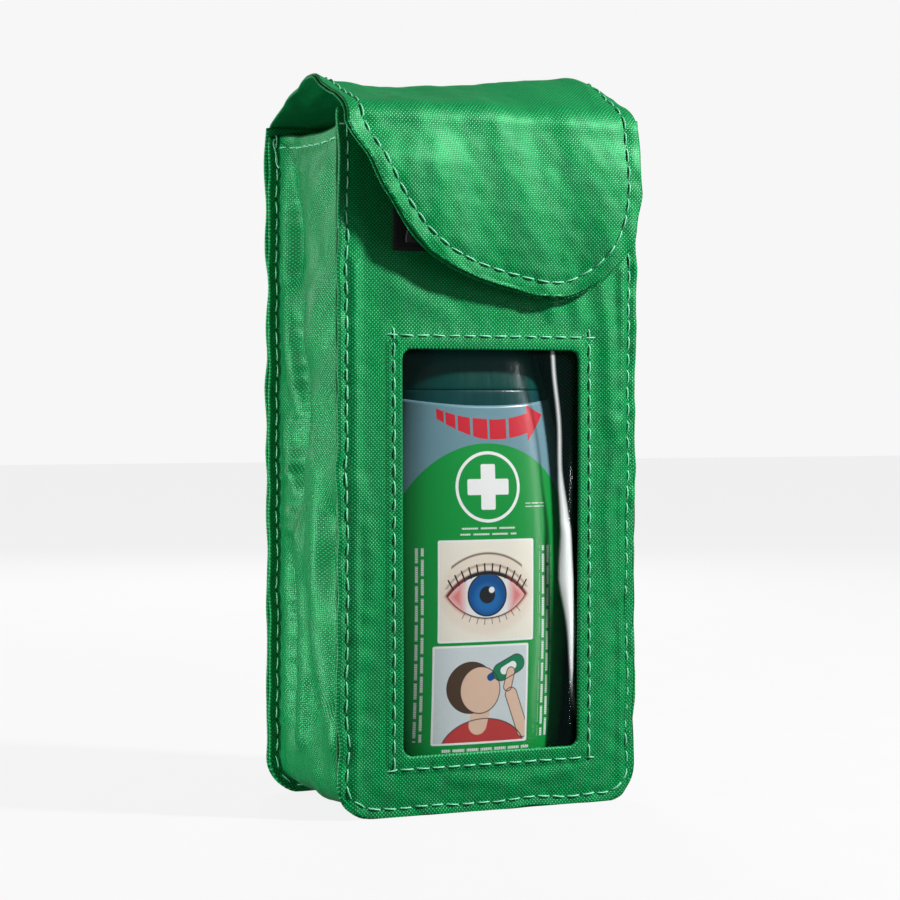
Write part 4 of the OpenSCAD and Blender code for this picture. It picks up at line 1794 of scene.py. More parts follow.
@dataclass
class BeltStrap:
    """The strap behind the pouch, with its sewn anchor, its stud patch and its press stud."""

    back_y: float = 26.3
    width: float = 38.0
    stud_z: float = 70.7

    def build(self, kit: "Finishes", sewing: Sewing) -> None:
        """Build the strap, its patches and the metal of its press stud.

        Args:
            kit: the materials.
            sewing: what draws the seams.
        """
        y = self.back_y
        inner = [(y + 0.3, 157.6), (y + 6.5, 149.7), (y + 6.5, 89.7), (y + 4.8, 79.7), (y + 4.8, 59.8)]
        line = softened([(a + 0.9, z) for a, z in inner])
        strap = FlatPatch(1.8, 1.0, side_line=line, half_width=19.0, seed=63)
        end = strap.travelled[-1]
        w = 16.6
        strap.seams = [Seam(np.array([(-w, end - 2.6), (w, end - 2.6)]), pull=0.3)]
        webbing = strap.cut("belt_strap_webbing", strap.grid(0.9, 2.0))
        dress(webbing, kit.webbing)
        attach(webbing, "strap")
        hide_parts("belt_strap")
        for piece in sewing.sew("belt_strap", strap, 5):
            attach(piece, "strap")
        self.patch("strap_anchor_cloth", "strap_anchor", 158.0, 172.0, 22.0, 1.5, kit, sewing, True)
        self.patch("stud_patch_cloth", "stud_patch", 59.7, 81.7, 19.0, 1.5, kit, sewing, False)
        self.metal(kit)

    def patch(self, name: str, node: str, low: float, high: float, half: float, thick: float,
              kit: "Finishes", sewing: Sewing, crossed: bool) -> None:
        """Sew a small patch on the back panel.

        Args:
            name: the piece's name.
            node: the node that it stands for.
            low: its lowest height.
            high: its highest height.
            half: its half width.
            thick: its thickness.
            kit: the finishes.
            sewing: the thread.
            crossed: sew a cross inside the box of stitches.
        """
        mid = self.back_y + thick / 2.0
        piece_cloth = FlatPatch(thick, 1.0, side_line=resampled(np.array([(mid, high), (mid, low)]), 0.5),
                                half_width=half, wave=0.06, seed=67)
        tall = high - low
        w, a, b = half - 2.0, 2.0, tall - 2.0
        lines = [[(-w, a), (w, a)], [(-w, b), (w, b)], [(-w, a), (-w, b)], [(w, a), (w, b)]]
        if crossed:
            lines += [[(-w, a), (w, b)], [(-w, b), (w, a)]]
        piece_cloth.seams = [Seam(np.array(item), pitch=3.9, pull=0.3) for item in lines]
        piece = piece_cloth.cut(name, piece_cloth.grid(0.8, 1.2))
        dress(piece, kit.fabric)
        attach(piece, "pouch")
        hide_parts(node)
        for stitch in sewing.sew(node, piece_cloth, 6):
            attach(stitch, "pouch")

    def metal(self, kit: "Finishes") -> None:
        """Turn the press stud's four parts.

        Args:
            kit: the materials.
        """
        y, z = self.back_y, self.stud_z
        parts = [
            ("snap_cap_dome", "snap_cap", "strap", y + 4.8 + 1.8,
             [(0.0, 1.55), (3.0, 1.42), (5.2, 1.12), (6.7, 0.72), (7.3, 0.35), (7.45, 0.1), (7.2, -0.12),
              (6.2, -0.1), (1.5, -0.1), (1.5, -1.9), (0.0, -1.9)]),
            ("snap_socket_ring", "snap_socket", "strap", y + 1.5 + 1.1,
             [(3.35, 0.1), (3.5, 0.0), (5.2, 0.0), (5.55, 0.35), (5.6, 1.1), (5.3, 1.6), (5.0, 1.75),
              (4.9, 2.15), (3.45, 2.15), (3.3, 1.9), (3.45, 1.2)]),
            ("snap_stud_post", "snap_stud", "pouch", y + 1.5,
             [(1.56, 0.0), (5.3, 0.0), (5.6, 0.25), (5.4, 0.7), (4.6, 0.8), (3.2, 0.85), (2.85, 1.3),
              (3.1, 2.0), (3.15, 2.3), (2.7, 2.68), (1.9, 2.72), (1.56, 2.5)]),
            ("snap_rivet_head", "snap_rivet", "pouch", y - 1.2,
             [(0.0, -0.9), (3.2, -0.85), (4.2, -0.55), (4.45, -0.1), (4.3, -0.02), (1.5, -0.02), (1.5, 4.3),
              (0.0, 4.45)]),
        ]
        for name, node, body, foot, profile in parts:
            piece = lathe(name, profile, np.array([0.0, foot, z]), axis="Y", segments=64)
            dress(piece, kit.metal)
            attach(piece, body)
            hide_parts(node)


# ---------------------------------------------------------------- bottle


@dataclass
class BottleForm:
    """The bottle's outer form: an oval section that narrows to a rounded tip."""

    centre_y: float = -5.7
    base_z: float = 4.9
    height: float = 161.0
    width: float = 66.0
    depth: float = 46.0
    belly: float = 61.0
    joint: float = 116.5
    power: float = 2.9

    def halves(self, z: Array, off: float = 0.0) -> tuple[Array, Array]:
        """Return the half width and half depth at z above the base, moved out by off.

        Args:
            z: heights above the base.
            off: how far out.

        Returns:
            The half width and the half depth.
        """
        z = np.asarray(z, float)
        above = np.clip(z - self.belly, 0, None) / (self.height - self.belly)
        below = np.clip(self.belly - z, 0, None) / self.belly
        cut = self.rounding(z, 6.0) + self.rounding(self.height - z, 8.0)
        wide = self.width / 2 * (1 - 0.12 * below**2 - 0.72 * above**2.2) - cut + off
        deep = self.depth / 2 * (1 - 0.12 * below**2 - 0.60 * above**2.6) - cut + off
        return np.maximum(wide, 0.01), np.maximum(deep, 0.01)

    @staticmethod
    def rounding(d: Array, r: float) -> Array:
        """Return how far a rounded edge cuts in at distance d from the end."""
        near = np.clip(d, 0.0, r)
        return np.where(d < r, r - np.sqrt(np.maximum(r * r - (r - near) ** 2, 0.0)), 0.0)

    def ring(self, z: float, off: float = 0.0, count: int = 144) -> Array:
        """Return one section of the bottle.

        Args:
            z: the height above the base.
            off: how far out.
            count: points round the section.

        Returns:
            The section's points.
        """
        a = np.linspace(0.0, 2.0 * math.pi, count, endpoint=False)
        wide, deep = self.halves(np.array(z), off)
        x = wide * np.sign(np.cos(a)) * np.abs(np.cos(a)) ** (2 / self.power)
        y = deep * np.sign(np.sin(a)) * np.abs(np.sin(a)) ** (2 / self.power)
        return np.column_stack([x, self.centre_y + y, np.full(count, self.base_z + z)])

    def circle(self, radius: float, z: float, count: int = 144) -> Array:
        """Return a round section on the bottle's axis.

        Args:
            radius: the radius.
            z: the height above the base.
            count: points round the section.

        Returns:
            The section's points.
        """
        a = np.linspace(0.0, 2.0 * math.pi, count, endpoint=False)
        return np.column_stack([radius * np.cos(a), self.centre_y + radius * np.sin(a),
                                np.full(count, self.base_z + z)])

    def surface(self, x: Array, z: Array, lift: float, side: float) -> Array:
        """Return points of the bottle's surface, lifted, at x and world height z.

        Args:
            x: places across.
            z: world heights.
            lift: how far out.
            side: -1 for the front, 1 for the back.

        Returns:
            One point a row.
        """
        wide, deep = self.halves(z - self.base_z, lift)
        y = deep * np.maximum(1 - (np.abs(x) / wide) ** self.power, 0.0) ** (1 / self.power)
        return np.column_stack([x, self.centre_y + side * y, z])


def skin(name: str, rings: Sequence[Array]) -> Piece:
    """Join sections into one closed shell; the first and last are closed with a point.

    Args:
        name: the piece's name.
        rings: the sections, in order.

    Returns:
        The shell.
    """
    count = len(rings[0])
    first, last = rings[0].mean(axis=0), rings[-1].mean(axis=0)
    points = np.concatenate([*rings, [first], [last]])
    number = np.arange(len(rings) * count).reshape(len(rings), count)
    after = np.roll(number, -1, axis=1)
    cells = np.stack([number[:-1], after[:-1], after[1:], number[1:]], axis=-1).reshape(-1, 4)
    faces = [list(cell) for cell in cells]
    a, b = len(points) - 2, len(points) - 1
    faces += [[a, int(after[0, k]), int(number[0, k])] for k in range(count)]
    faces += [[b, int(number[-1, k]), int(after[-1, k])] for k in range(count)]
    return new_object(name, points, faces)


@dataclass
class Bottle:
    """The rinse bottle, its labels, its cap and the parts under the cap."""

    form: BottleForm = field(default_factory=BottleForm)

    def build(self, kit: "Finishes") -> None:
        """Build the bottle's pieces and dress the hidden ones.

        Args:
            kit: the materials.
        """
        self.body(kit)
        self.cap(kit)
        self.label("front_label_print", "front_label", -1.0, kit.front_label)
        self.label("back_label_print", "back_label", 1.0, kit.back_label)
        inside = {"saline_fill": kit.saline, "neck_seal": kit.rubber, "cap_seal": kit.rubber,
                  "spray_nozzle": kit.cup, "eye_cup": kit.cup}
        for node, material in inside.items():
            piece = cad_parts[node]
            if not piece.material_slots:
                piece.data.materials.append(material)
            for holder in piece.material_slots:
                holder.material = material

    def body(self, kit: "Finishes") -> None:
        """Build the hollow body with its shoulder, boss and neck.

        Args:
            kit: the materials.
        """
        f = self.form
        rise = 6.0 * (1 - np.cos(np.linspace(0, math.pi / 2, 12)))
        rings = [f.ring(0.0, off) + [0, 0, up] for off, up in ((-14.0, 0.9), (-4.0, 0.5), (-1.6, 0.1))]
        rings += [f.ring(z) for z in rise]
        rings += [f.ring(z) for z in np.linspace(6.0, f.joint - 1.2, 64)[1:]]
        rings += [f.ring(f.joint - 0.3, -0.01), f.ring(f.joint - 0.06, -0.05), f.ring(f.joint, -0.22)]
        rings += [f.circle(17.4, f.joint), f.circle(16.7, f.joint + 0.25), f.circle(16.5, f.joint + 0.8),
                  f.circle(16.4, f.joint + 3.1), f.circle(16.0, f.joint + 3.5), f.circle(12.0, f.joint + 3.5),
                  f.circle(11.6, f.joint + 3.9), f.circle(11.6, f.joint + 6.6), f.circle(11.3, f.joint + 7.0),
                  f.circle(10.5, f.joint + 7.0), f.circle(10.2, f.joint + 6.7), f.circle(10.2, f.joint - 1.4)]
        rings += [f.ring(z, -1.4) for z in np.linspace(f.joint - 2.8, 7.4, 40)]
        rings += [f.ring(z, -1.4) for z in (5.0, 3.4, 2.4, 1.8)] + [f.ring(1.6, -8.0)]
        piece = skin("bottle_body_shell", rings)
        dress(piece, kit.bottle)
        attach(piece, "bottle")
        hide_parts("bottle_body")

    def cap(self, kit: "Finishes") -> None:
        """Build the tall pointed cap, open underneath.

        Args:
            kit: the materials.
        """
        f = self.form
        low, top = f.joint + 0.1, f.height
        inner_top = [f.ring(top - 1.4 - 6.6 * (1 - math.cos(math.radians(90 * i / 5))), -1.4)
                     for i in (2, 3, 4)]
        rings = [*inner_top, *[f.ring(z, -1.4) for z in np.linspace(top - 8.4, low + 3.2, 24)],
                 f.circle(17.0, low + 2.8), f.circle(16.56, low + 2.5), f.circle(16.56, low + 0.9),
                 f.circle(18.2, low + 0.8), f.circle(18.3, low + 0.1), f.circle(18.6, low),
                 f.ring(low, -0.4), f.ring(low + 0.06, -0.12), f.ring(low + 0.3, -0.02)]
        rings += [f.ring(z) for z in np.linspace(low + 1.0, top - 8.0, 40)]
        rings += [f.ring(top - 8.0 + 8.0 * math.sin(math.radians(a))) for a in np.linspace(6.0, 84.0, 14)]
        piece = skin("cap_shell_shell", rings)
        dress(piece, kit.cap)
        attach(piece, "cap")
        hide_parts("cap_shell")

    def label(self, name: str, node: str, side: float, finish: Material) -> None:
        """Wrap a printed label round one face of the bottle.

        Args:
            name: the piece's name.
            node: the frame's node that it stands for.
            side: -1 for the front, 1 for the back.
            finish: its material.
        """
        f = self.form
        front = side < 0
        low, high = (8.0, 112.0) if front else (8.0, 87.0)
        z = np.linspace(low, high, 120)
        wide, _ = f.halves(z)
        half = np.minimum(29.4, 0.965 * wide) if front else np.full(len(z), 25.0)
        t = np.sin(np.linspace(-1.0, 1.0, 80) * math.pi / 2.0)
        x = half[:, None] * t[None, :]
        rise = 2.5 * (z - low) / (high - low) if front else np.zeros(len(z))
        up = f.base_z + z[:, None] + rise[:, None] * t[None, :] ** 2
        flat = np.stack([x, up], axis=-1)
        layers = [f.surface(x.ravel(), up.ravel(), lift, side).reshape(*x.shape, 3) for lift in (0.08, 0.23)]
        rows, cols = x.shape
        number = np.arange(rows * cols).reshape(rows, cols)
        corners = [number[:-1, :-1], number[:-1, 1:], number[1:, 1:], number[1:, :-1]]
        cells = np.stack(corners, axis=-1).reshape(-1, 4)
        loop = np.array([*number[0], *number[1:, -1], *number[-1, -2::-1], *number[-2:0:-1, 0]])
        rim = np.column_stack([loop, np.roll(loop, -1), np.roll(loop, -1) + rows * cols, loop + rows * cols])
        piece = new_object(name, np.concatenate([layer.reshape(-1, 3) for layer in layers]),
                           np.concatenate([cells + rows * cols, cells[:, ::-1], rim]))
        set_uv(piece, "print", np.concatenate([flat.reshape(-1, 2)] * 2))
        dress(piece, finish)
        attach(piece, "bottle")
        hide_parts(node)


# ---------------------------------------------------------------- label printing


class Artwork:
    """Flat printing built up in layers of ink on a UV map in millimetres."""

    def __init__(self, name: str, base: Colour) -> None:
        """Start the print with its base colour.

        Args:
            name: the material's name.
            base: the base colour.
        """
        self.shader = Shader(name)
        self.x, self.z = self.shader.flat("print")
        self.colour: object = base

    def box(self, cx: float, cz: float, hw: float, hh: float, r: float = 0.0) -> Field:
        """Return the distance to a box with rounded corners.

        Args:
            cx: middle across.
            cz: middle up.
            hw: half width.
            hh: half height.
            r: corner radius.

        Returns:
            The distance.
        """
        dx = (abs(self.x - cx) - (hw - r)).high(0.0)
        dz = (abs(self.z - cz) - (hh - r)).high(0.0)
        if r <= 0.0:
            return (abs(self.x - cx) - hw).high(abs(self.z - cz) - hh)
        return (dx * dx + dz * dz).op("SQRT") - r

    def disc(self, cx: float, cz: float, r: float, flat: float = 1.0) -> Field:
        """Return the distance to a disc, squashed upright by flat."""
        dx, dz = self.x - cx, (self.z - cz) / flat
        return ((dx * dx + dz * dz).op("SQRT") - r) * min(flat, 1.0)

    def almond(self, cx: float, cz: float, hw: float, hh: float) -> Field:
        """Return the distance to an almond shape."""
        r = (hw * hw + hh * hh) / (2.0 * hh)
        return self.disc(cx, cz - r + hh, r).high(self.disc(cx, cz + r - hh, r))

    def bar(self, ax: float, az: float, bx: float, bz: float, r: float) -> Field:
        """Return the distance to a round-ended bar between two points.

        Args:
            ax: first end across.
            az: first end up.
            bx: second end across.
            bz: second end up.
            r: its radius.

        Returns:
            The distance.
        """
        length = math.hypot(bx - ax, bz - az)
        ux, uz = (bx - ax) / length, (bz - az) / length
        along = (self.x - ax) * ux + (self.z - az) * uz
        off = abs((self.x - ax) * -uz + (self.z - az) * ux)
        over = (abs(along - length / 2.0) - length / 2.0).high(0.0)
        return (over * over + off * off).op("SQRT") - r

    def ink(self, colour: Colour, shape: Field, strength: float = 1.0, soft: float = 0.10) -> None:
        """Print a shape in a colour."""
        cover = shape.ink(soft)
        self.colour = self.shader.mix(self.colour, colour, cover * strength if strength < 1.0 else cover)

    def dashes(self, colour: Colour, cx: float, cz: float, hw: float, hh: float, line: float, word: float,
               upright: bool = False) -> None:
        """Print a block of plain dashes that stand for small writing.

        Args:
            colour: the ink.
            cx: the block's middle across.
            cz: the block's middle upright.
            hw: its half width.
            hh: its half height.
            line: the spacing of its lines.
            word: the typical length of a dash.
            upright: the lines run upright.
        """
        block = self.box(cx, cz, hw, hh)
        across, along = (self.x - cx, self.z - cz) if upright else (self.z - cz, self.x - cx)
        row = abs((across + line / 2.0).wrap(line)) - line * 0.24
        index = (across / line).op("FLOOR")
        shift = index * 2.37 + (index * 1.7).op("SINE") * 1.3
        gap = abs((along + shift).wrap(word)) - word * 0.42
        letters = abs(along.wrap(0.62)) - 0.25
        self.ink(colour, block.high(row).high(gap).high(letters), 0.9, 0.12)

    def finish(self, roughness: float) -> Material:
        """Return the print under its clear film.

        Args:
            roughness: the clear film's roughness.

        Returns:
            The material.
        """
        grain = self.shader.noise(1200.0, 2.0)
        dulled = self.shader.mix(self.colour, (0.05, 0.07, 0.07), grain * 0.10)
        self.shader.set(Base_Color=dulled, Roughness=(grain * 0.08 + roughness).value, Coat_Weight=0.25,
                        Coat_Roughness=0.15, Normal=self.shader.bump(self.shader.noise(90.0, 2.0), 0.05))
        return self.shader.material


@dataclass(frozen=True)
class LabelInks:
    """The inks of both labels."""

    mist: Colour = (0.155, 0.30, 0.36)
    green: Colour = (0.0005, 0.31, 0.045)
    white: Colour = (0.92, 0.94, 0.93)
    red: Colour = (0.62, 0.012, 0.030)
    cream: Colour = (0.92, 0.88, 0.76)
    pale: Colour = (0.66, 0.74, 0.76)
    skin: Colour = (0.80, 0.56, 0.42)
    iris: Colour = (0.005, 0.085, 0.30)
    dark: Colour = (0.015, 0.015, 0.02)


@dataclass(frozen=True)
class FrontPrint:
    """The front label: an arrow, a first-aid cross and two picture boxes."""

    inks: LabelInks = LabelInks()

    def build(self) -> Material:
        """Print the label.

        Returns:
            The material.
        """
        ink = self.inks
        art = Artwork("front_label_print", ink.mist)
        dome = art.disc(0.0, 76.0, 29.0, 30.0 / 29.0).low(art.box(0.0, 40.0, 29.6, 36.0))
        art.ink(ink.green, dome)
        self.arrow(art)
        art.ink(ink.white, art.disc(0.0, 93.4, 10.3))
        art.ink(ink.green, art.disc(0.0, 93.4, 9.4))
        art.ink(ink.white, art.box(0.0, 93.4, 2.3, 6.6, 0.5).low(art.box(0.0, 93.4, 6.6, 2.3, 0.5)))
        art.dashes(ink.white, 0.0, 80.6, 9.0, 1.1, 2.3, 6.0)
        art.dashes(ink.white, 15.6, 88.0, 3.4, 0.6, 1.3, 3.0)
        self.first_picture(art)
        self.second_picture(art)
        art.dashes(ink.white, -21.0, 48.0, 1.9, 28.0, 1.6, 5.6, upright=True)
        art.dashes(ink.white, 19.2, 48.0, 2.2, 28.0, 1.7, 6.4, upright=True)
        art.dashes(ink.white, 0.0, 16.4, 14.0, 1.5, 1.7, 4.4)
        return art.finish(0.26)

    def arrow(self, art: Artwork) -> None:
        """Print the broken arrow round the top of the label.

        Args:
            art: the print to draw on.
        """
        along = art.x - 2.5
        middle = art.z - (along * along * 0.0147 + 110.0)
        thick = ((art.x + 15.0) / 13.0).high(0.0).low(1.0) * 1.4 + 1.5
        band = abs(middle) - thick
        parts = [(-15.2, -13.1), (-12.6, -9.7), (-9.0, -5.2), (-4.35, 0.33), (0.97, 6.4), (7.3, 14.2)]
        for a, b in parts:
            art.ink(self.inks.red, band.high(abs(art.x - (a + b) / 2.0) - (b - a) / 2.0))
        head = (abs(middle) - (art.x * -0.9 + 17.6)).high(art.x * -1.0 + 13.6)
        art.ink(self.inks.red, head)

    def first_picture(self, art: Artwork) -> None:
        """Print the open eye in its cream box.

        Args:
            art: the print to draw on.
        """
        ink = self.inks
        art.ink(ink.white, art.box(-0.5, 63.4, 15.3, 14.8, 0.6))
        art.ink(ink.cream, art.box(-0.5, 63.4, 14.7, 14.2, 0.4))
        box = art.box(-0.5, 63.4, 14.7, 14.2, 0.4)
        art.ink(ink.skin, art.disc(-0.5, 62.5, 14.0, 0.80).high(box), 0.45, 3.0)
        crease = abs(art.disc(-0.5, 55.5, 15.5)).high(art.z * -1.0 + 64.5) - 0.35
        art.ink((0.30, 0.16, 0.11), crease, 0.6, 0.5)
        art.ink((0.22, 0.10, 0.07), art.almond(-0.5, 62.2, 13.2, 7.0).high(box), 0.8, 0.8)
        art.ink(ink.dark, art.almond(-0.5, 62.2, 12.9, 6.9), 1.0, 0.3)
        white = art.almond(-0.5, 61.8, 12.2, 6.2)
        art.ink((0.86, 0.86, 0.85), white)
        art.ink((0.75, 0.03, 0.02), white.high(abs(art.x + 0.5) * -1.0 + 7.6), 0.75, 3.0)
        art.ink(ink.dark, art.disc(-0.5, 62.2, 6.3).high(white))
        art.ink(ink.iris, art.disc(-0.5, 62.2, 5.9).high(white))
        art.ink((0.02, 0.20, 0.55), art.disc(-0.5, 61.2, 4.2).high(white), 0.6, 1.8)
        art.ink(ink.dark, art.disc(-0.5, 62.2, 2.5).high(white))
        art.ink(ink.white, art.disc(0.9, 63.6, 0.9))
        lashes = [(-11.2, -1.5), (-9.4, -1.3), (-7.6, -1.1), (-5.6, -0.8), (-3.4, -0.5), (-1.2, -0.2),
                  (1.0, 0.2), (3.2, 0.5), (5.2, 0.9), (7.2, 1.2), (9.0, 1.5), (10.6, 1.7)]
        for x0, lean in lashes:
            arc = 1.0 - ((x0 + 0.5) / 13.0) ** 2
            art.ink(ink.dark, art.bar(x0, 61.8 + 6.4 * arc, x0 + lean, 64.4 + 6.8 * arc, 0.24))
            if -9.0 < x0 < 9.5:
                art.ink(ink.dark, art.bar(x0, 61.6 - 6.4 * arc, x0 + 0.8 * lean, 60.2 - 6.6 * arc, 0.13), 0.8)
        art.ink((0.16, 0.09, 0.06), abs(art.disc(-0.5, 56.0, 18.2)).high(abs(art.x + 0.5) - 11.0).high(
            art.z * -1.0 + 66.0) - 0.3, 0.9, 0.4)

    def second_picture(self, art: Artwork) -> None:
        """Print a plain figure that tips a bottle to its eye.

        Args:
            art: the print to draw on.
        """
        ink = self.inks
        art.ink(ink.white, art.box(-2.0, 33.3, 15.2, 14.4, 0.6))
        box = art.box(-2.0, 33.3, 14.6, 13.8, 0.4)
        art.ink(ink.pale, box)
        art.ink((0.55, 0.05, 0.05), art.disc(-1.0, 16.5, 13.5, 0.72).high(box))
        art.ink(ink.skin, art.bar(-3.0, 24.5, -1.5, 31.5, 2.9).high(box))
        art.ink((0.08, 0.045, 0.025), art.disc(-5.4, 35.4, 7.6).high(box))
        art.ink(ink.skin, art.disc(-2.4, 34.6, 6.3, 1.08).high(box))
        art.ink(ink.skin, art.bar(11.8, 22.0, 7.6, 33.0, 1.9).high(box))
        art.ink(ink.iris, art.bar(0.8, 38.2, 2.6, 39.2, 1.1).high(box))
        art.ink((0.01, 0.22, 0.10), art.bar(4.2, 39.6, 9.2, 42.0, 2.6).high(box))
        art.ink(ink.white, art.bar(5.2, 40.0, 8.0, 41.4, 1.2).high(box))
        art.ink(ink.skin, art.bar(6.4, 35.2, 7.4, 39.6, 1.3).high(box))
        line = (0.05, 0.03, 0.03)
        for shape in (art.disc(-2.4, 34.6, 6.3, 1.08), art.bar(11.8, 22.0, 7.6, 33.0, 1.9),
                      art.bar(4.2, 39.6, 9.2, 42.0, 2.6), art.bar(6.4, 35.2, 7.4, 39.6, 1.3),
                      art.disc(-1.0, 16.5, 13.5, 0.72)):
            art.ink(line, (abs(shape) - 0.16).high(box), 0.85)


@dataclass(frozen=True)
class BackPrint:
    """The back label: a plain white sheet with green edges and dashes for small writing."""

    inks: LabelInks = LabelInks()

    def build(self) -> Material:
        """Print the label.

        Returns:
            The material.
        """
        ink = self.inks
        art = Artwork("back_label_print", (0.70, 0.73, 0.71))
        art.ink(ink.green, art.box(0.0, 84.0, 23.0, 5.0, 1.0))
        art.dashes(ink.white, 0.0, 84.0, 16.0, 2.2, 2.4, 6.0)
        art.dashes((0.02, 0.06, 0.05), 0.0, 56.0, 21.0, 20.0, 2.2, 6.5)
        art.dashes((0.02, 0.06, 0.05), -6.0, 24.0, 15.0, 8.0, 1.9, 5.0)
        art.ink(ink.green, art.box(15.0, 24.0, 5.0, 7.5, 0.8))
        art.ink(ink.white, art.box(15.0, 24.0, 1.2, 3.6, 0.2).low(art.box(15.0, 24.0, 3.6, 1.2, 0.2)))
        return art.finish(0.4)


# ---------------------------------------------------------------- finishes


@dataclass
class Finishes:
    """Every material of the station."""

    fabric: Material
    gusset: Material
    flap: Material
    lining: Material
    webbing: Material
    thread: Material
    pit: Material
    tape: Material
    film: Material
    metal: Material
    bottle: Material
    cap: Material
    cup: Material
    saline: Material
    rubber: Material
    front_label: Material
    back_label: Material

    @classmethod
    def mixed(cls) -> "Finishes":
        """Build every material.

        Returns:
            The materials.
        """
        # The weave's ground is painted shade between threads, and its thread colour is painted highlight on
        # their tops.
        shaded_ground, thread = (0.0003, 0.060, 0.013), (0.014, 0.49, 0.142)
        return cls(
            fabric=WovenFinish("pouch_weave", shaded_ground, thread).build(),
            gusset=WovenFinish("gusset_weave", shaded_ground, thread, roughness=0.34).build(),
            flap=WovenFinish("flap_weave", shaded_ground, thread, roughness=0.38, sheen=0.06).build(),
            lining=WovenFinish("lining_weave", (0.001, 0.075, 0.018), (0.008, 0.36, 0.100),
                               0.5, 0.08, 0.4).build(),
            webbing=WebbingFinish("strap_weave", (0.001, 0.05, 0.014), (0.004, 0.22, 0.060)).build(),
            thread=ThreadFinish("sewing_thread", (0.24, 0.86, 0.52)).build(),
            # Painted shade for the needle holes.
            pit=PlainFinish("needle_shadow", (0.001, 0.045, 0.014), 0.9).build(),
            tape=PlainFinish("hook_and_loop_black", (0.012, 0.012, 0.014), 0.7).build(),
            film=FilmFinish("window_vinyl").build(),
            metal=MetalFinish("nickel").build(),
            bottle=PlasticFinish("bottle_petrol", (0.004, 0.060, 0.062), (0.002, 0.035, 0.036), 0.2).build(),
            cap=PlasticFinish("cap_petrol", (0.001, 0.060, 0.050), (0.0006, 0.040, 0.033),
                              0.20, 0.05, 0.1).build(),
            cup=PlasticFinish("cup_milk", (0.60, 0.72, 0.76), (0.5, 0.62, 0.66), 0.3).build(),
            saline=PlasticFinish("saline_clear", (0.55, 0.75, 0.78), (0.45, 0.66, 0.70), 0.08, 0.0).build(),
            rubber=PlainFinish("seal_white", (0.62, 0.62, 0.60), 0.55).build(),
            front_label=FrontPrint().build(),
            back_label=BackPrint().build(),
        )


# ---------------------------------------------------------------- the station


@dataclass(frozen=True)
class Camera:
    """The camera, in metres and degrees."""

    place: Triple = (-0.30540, -0.65957, 0.11705)
    target: Triple = (0.0, -0.0022, 0.10363)
    lens: float = 96.98

    def build(self) -> None:
        """Set up the scene's camera."""
        data = bpy.data.cameras.new("view_camera")
        data.lens = self.lens
        data.sensor_width = 36.0
        data.clip_start = 0.01
        camera = bpy.data.objects.new("view_camera", data)
        camera.location = self.place
        aim = Vector(self.target) - Vector(self.place)
        camera.rotation_euler = aim.to_track_quat("-Z", "Y").to_euler()
        bpy.context.scene.collection.objects.link(camera)
        bpy.context.scene.camera = camera


@dataclass(frozen=True)
class Studio:
    """The pale floor, the soft sky and the lamps, in metres."""

    sky: float = 0.095
    wall: float = 0.93
    floor_glow: float = 0.86
    key_power: float = 16.2
    side_power: float = 4.5
    back_power: float = 9.0
    low_power: float = 1.5
    rear_power: float = 1.0
    strip_power: float = 1.0

    def build(self) -> None:
        """Set up the floor, the sky and the lamps."""
        world = bpy.data.worlds.new("pale_sky")
        world.use_nodes = True
        nodes, links = world.node_tree.nodes, world.node_tree.links
        glow = nodes["Background"]
        glow.inputs[0].default_value = (1.0, 1.0, 1.0, 1.0)
        rays = nodes.new("ShaderNodeLightPath")
        level = nodes.new("ShaderNodeMapRange")
        level.inputs["To Min"].default_value = self.sky
        level.inputs["To Max"].default_value = self.wall
        links.new(rays.outputs["Is Camera Ray"], level.inputs["Value"])
        links.new(level.outputs[0], glow.inputs[1])
        bpy.context.scene.world = world
        bpy.context.scene.view_settings.view_transform = "Standard"
        floor = new_object("pale_floor", np.array([(-4000, -4000, 0), (4000, -4000, 0), (4000, 4000, 0),
                                                   (-4000, 4000, 0)]), [(0, 1, 2, 3)], repair=False)
        pale = Shader("floor_white")
        grain = pale.noise(40.0, 2.0)
        pale.set(Base_Color=pale.mix((0.055, 0.055, 0.055), (0.065, 0.065, 0.065), grain), Roughness=1.0)
        pale.set(Specular_IOR_Level=0.0, Emission_Color=(1.0, 1.0, 1.0, 1.0),
                 Emission_Strength=self.floor_glow)
        floor.data.materials.append(pale.material)
        floor.visible_diffuse = False
        floor.visible_glossy = False
        self.lamp("key", (0.585, -0.52, 0.66), (0.0, -0.01, 0.12), self.key_power, 0.08)
        self.lamp("low", (-0.62, -0.40, 0.02), (-0.02, 0.0, 0.17), self.low_power, 0.20)
        self.lamp("back", (0.30, 0.95, 0.60), (0.0, 0.0, 0.10), self.back_power, 0.40).visible_glossy = False
        self.lamp("side", (-0.62, 0.06, 0.04), (-0.02, 0.0, 0.05), self.side_power, 0.16)
        self.lamp("rear", (-0.52, 0.62, 0.30), (-0.03, 0.0, 0.10), self.rear_power, 0.12)
        self.lamp("strip", (0.62, -0.52, 0.12), (0.0, -0.02, 0.10), self.strip_power, 0.04, 0.55)

    @staticmethod
    def lamp(name: str, place: Triple, target: Triple, power: float, size: float,
             tall: float = 0.0) -> Piece:
        """Add one lamp that points at a target: square, or a tall strip.

        Args:
            name: the lamp's name.
            place: where it stands, in metres.
            target: where it points.
            power: its power in watts.
            size: its width in metres.
            tall: a strip's height in metres.

        Returns:
            The lamp.
        """
        data = bpy.data.lights.new(name, "AREA")
        data.energy = power
        data.shape = "RECTANGLE" if tall else "SQUARE"
        data.size = size
        data.size_y = tall or size
        lamp = bpy.data.objects.new(name, data)
        lamp.location = place
        lamp.rotation_euler = (Vector(target) - Vector(place)).to_track_quat("-Z", "Y").to_euler()
        bpy.context.scene.collection.objects.link(lamp)
        return lamp


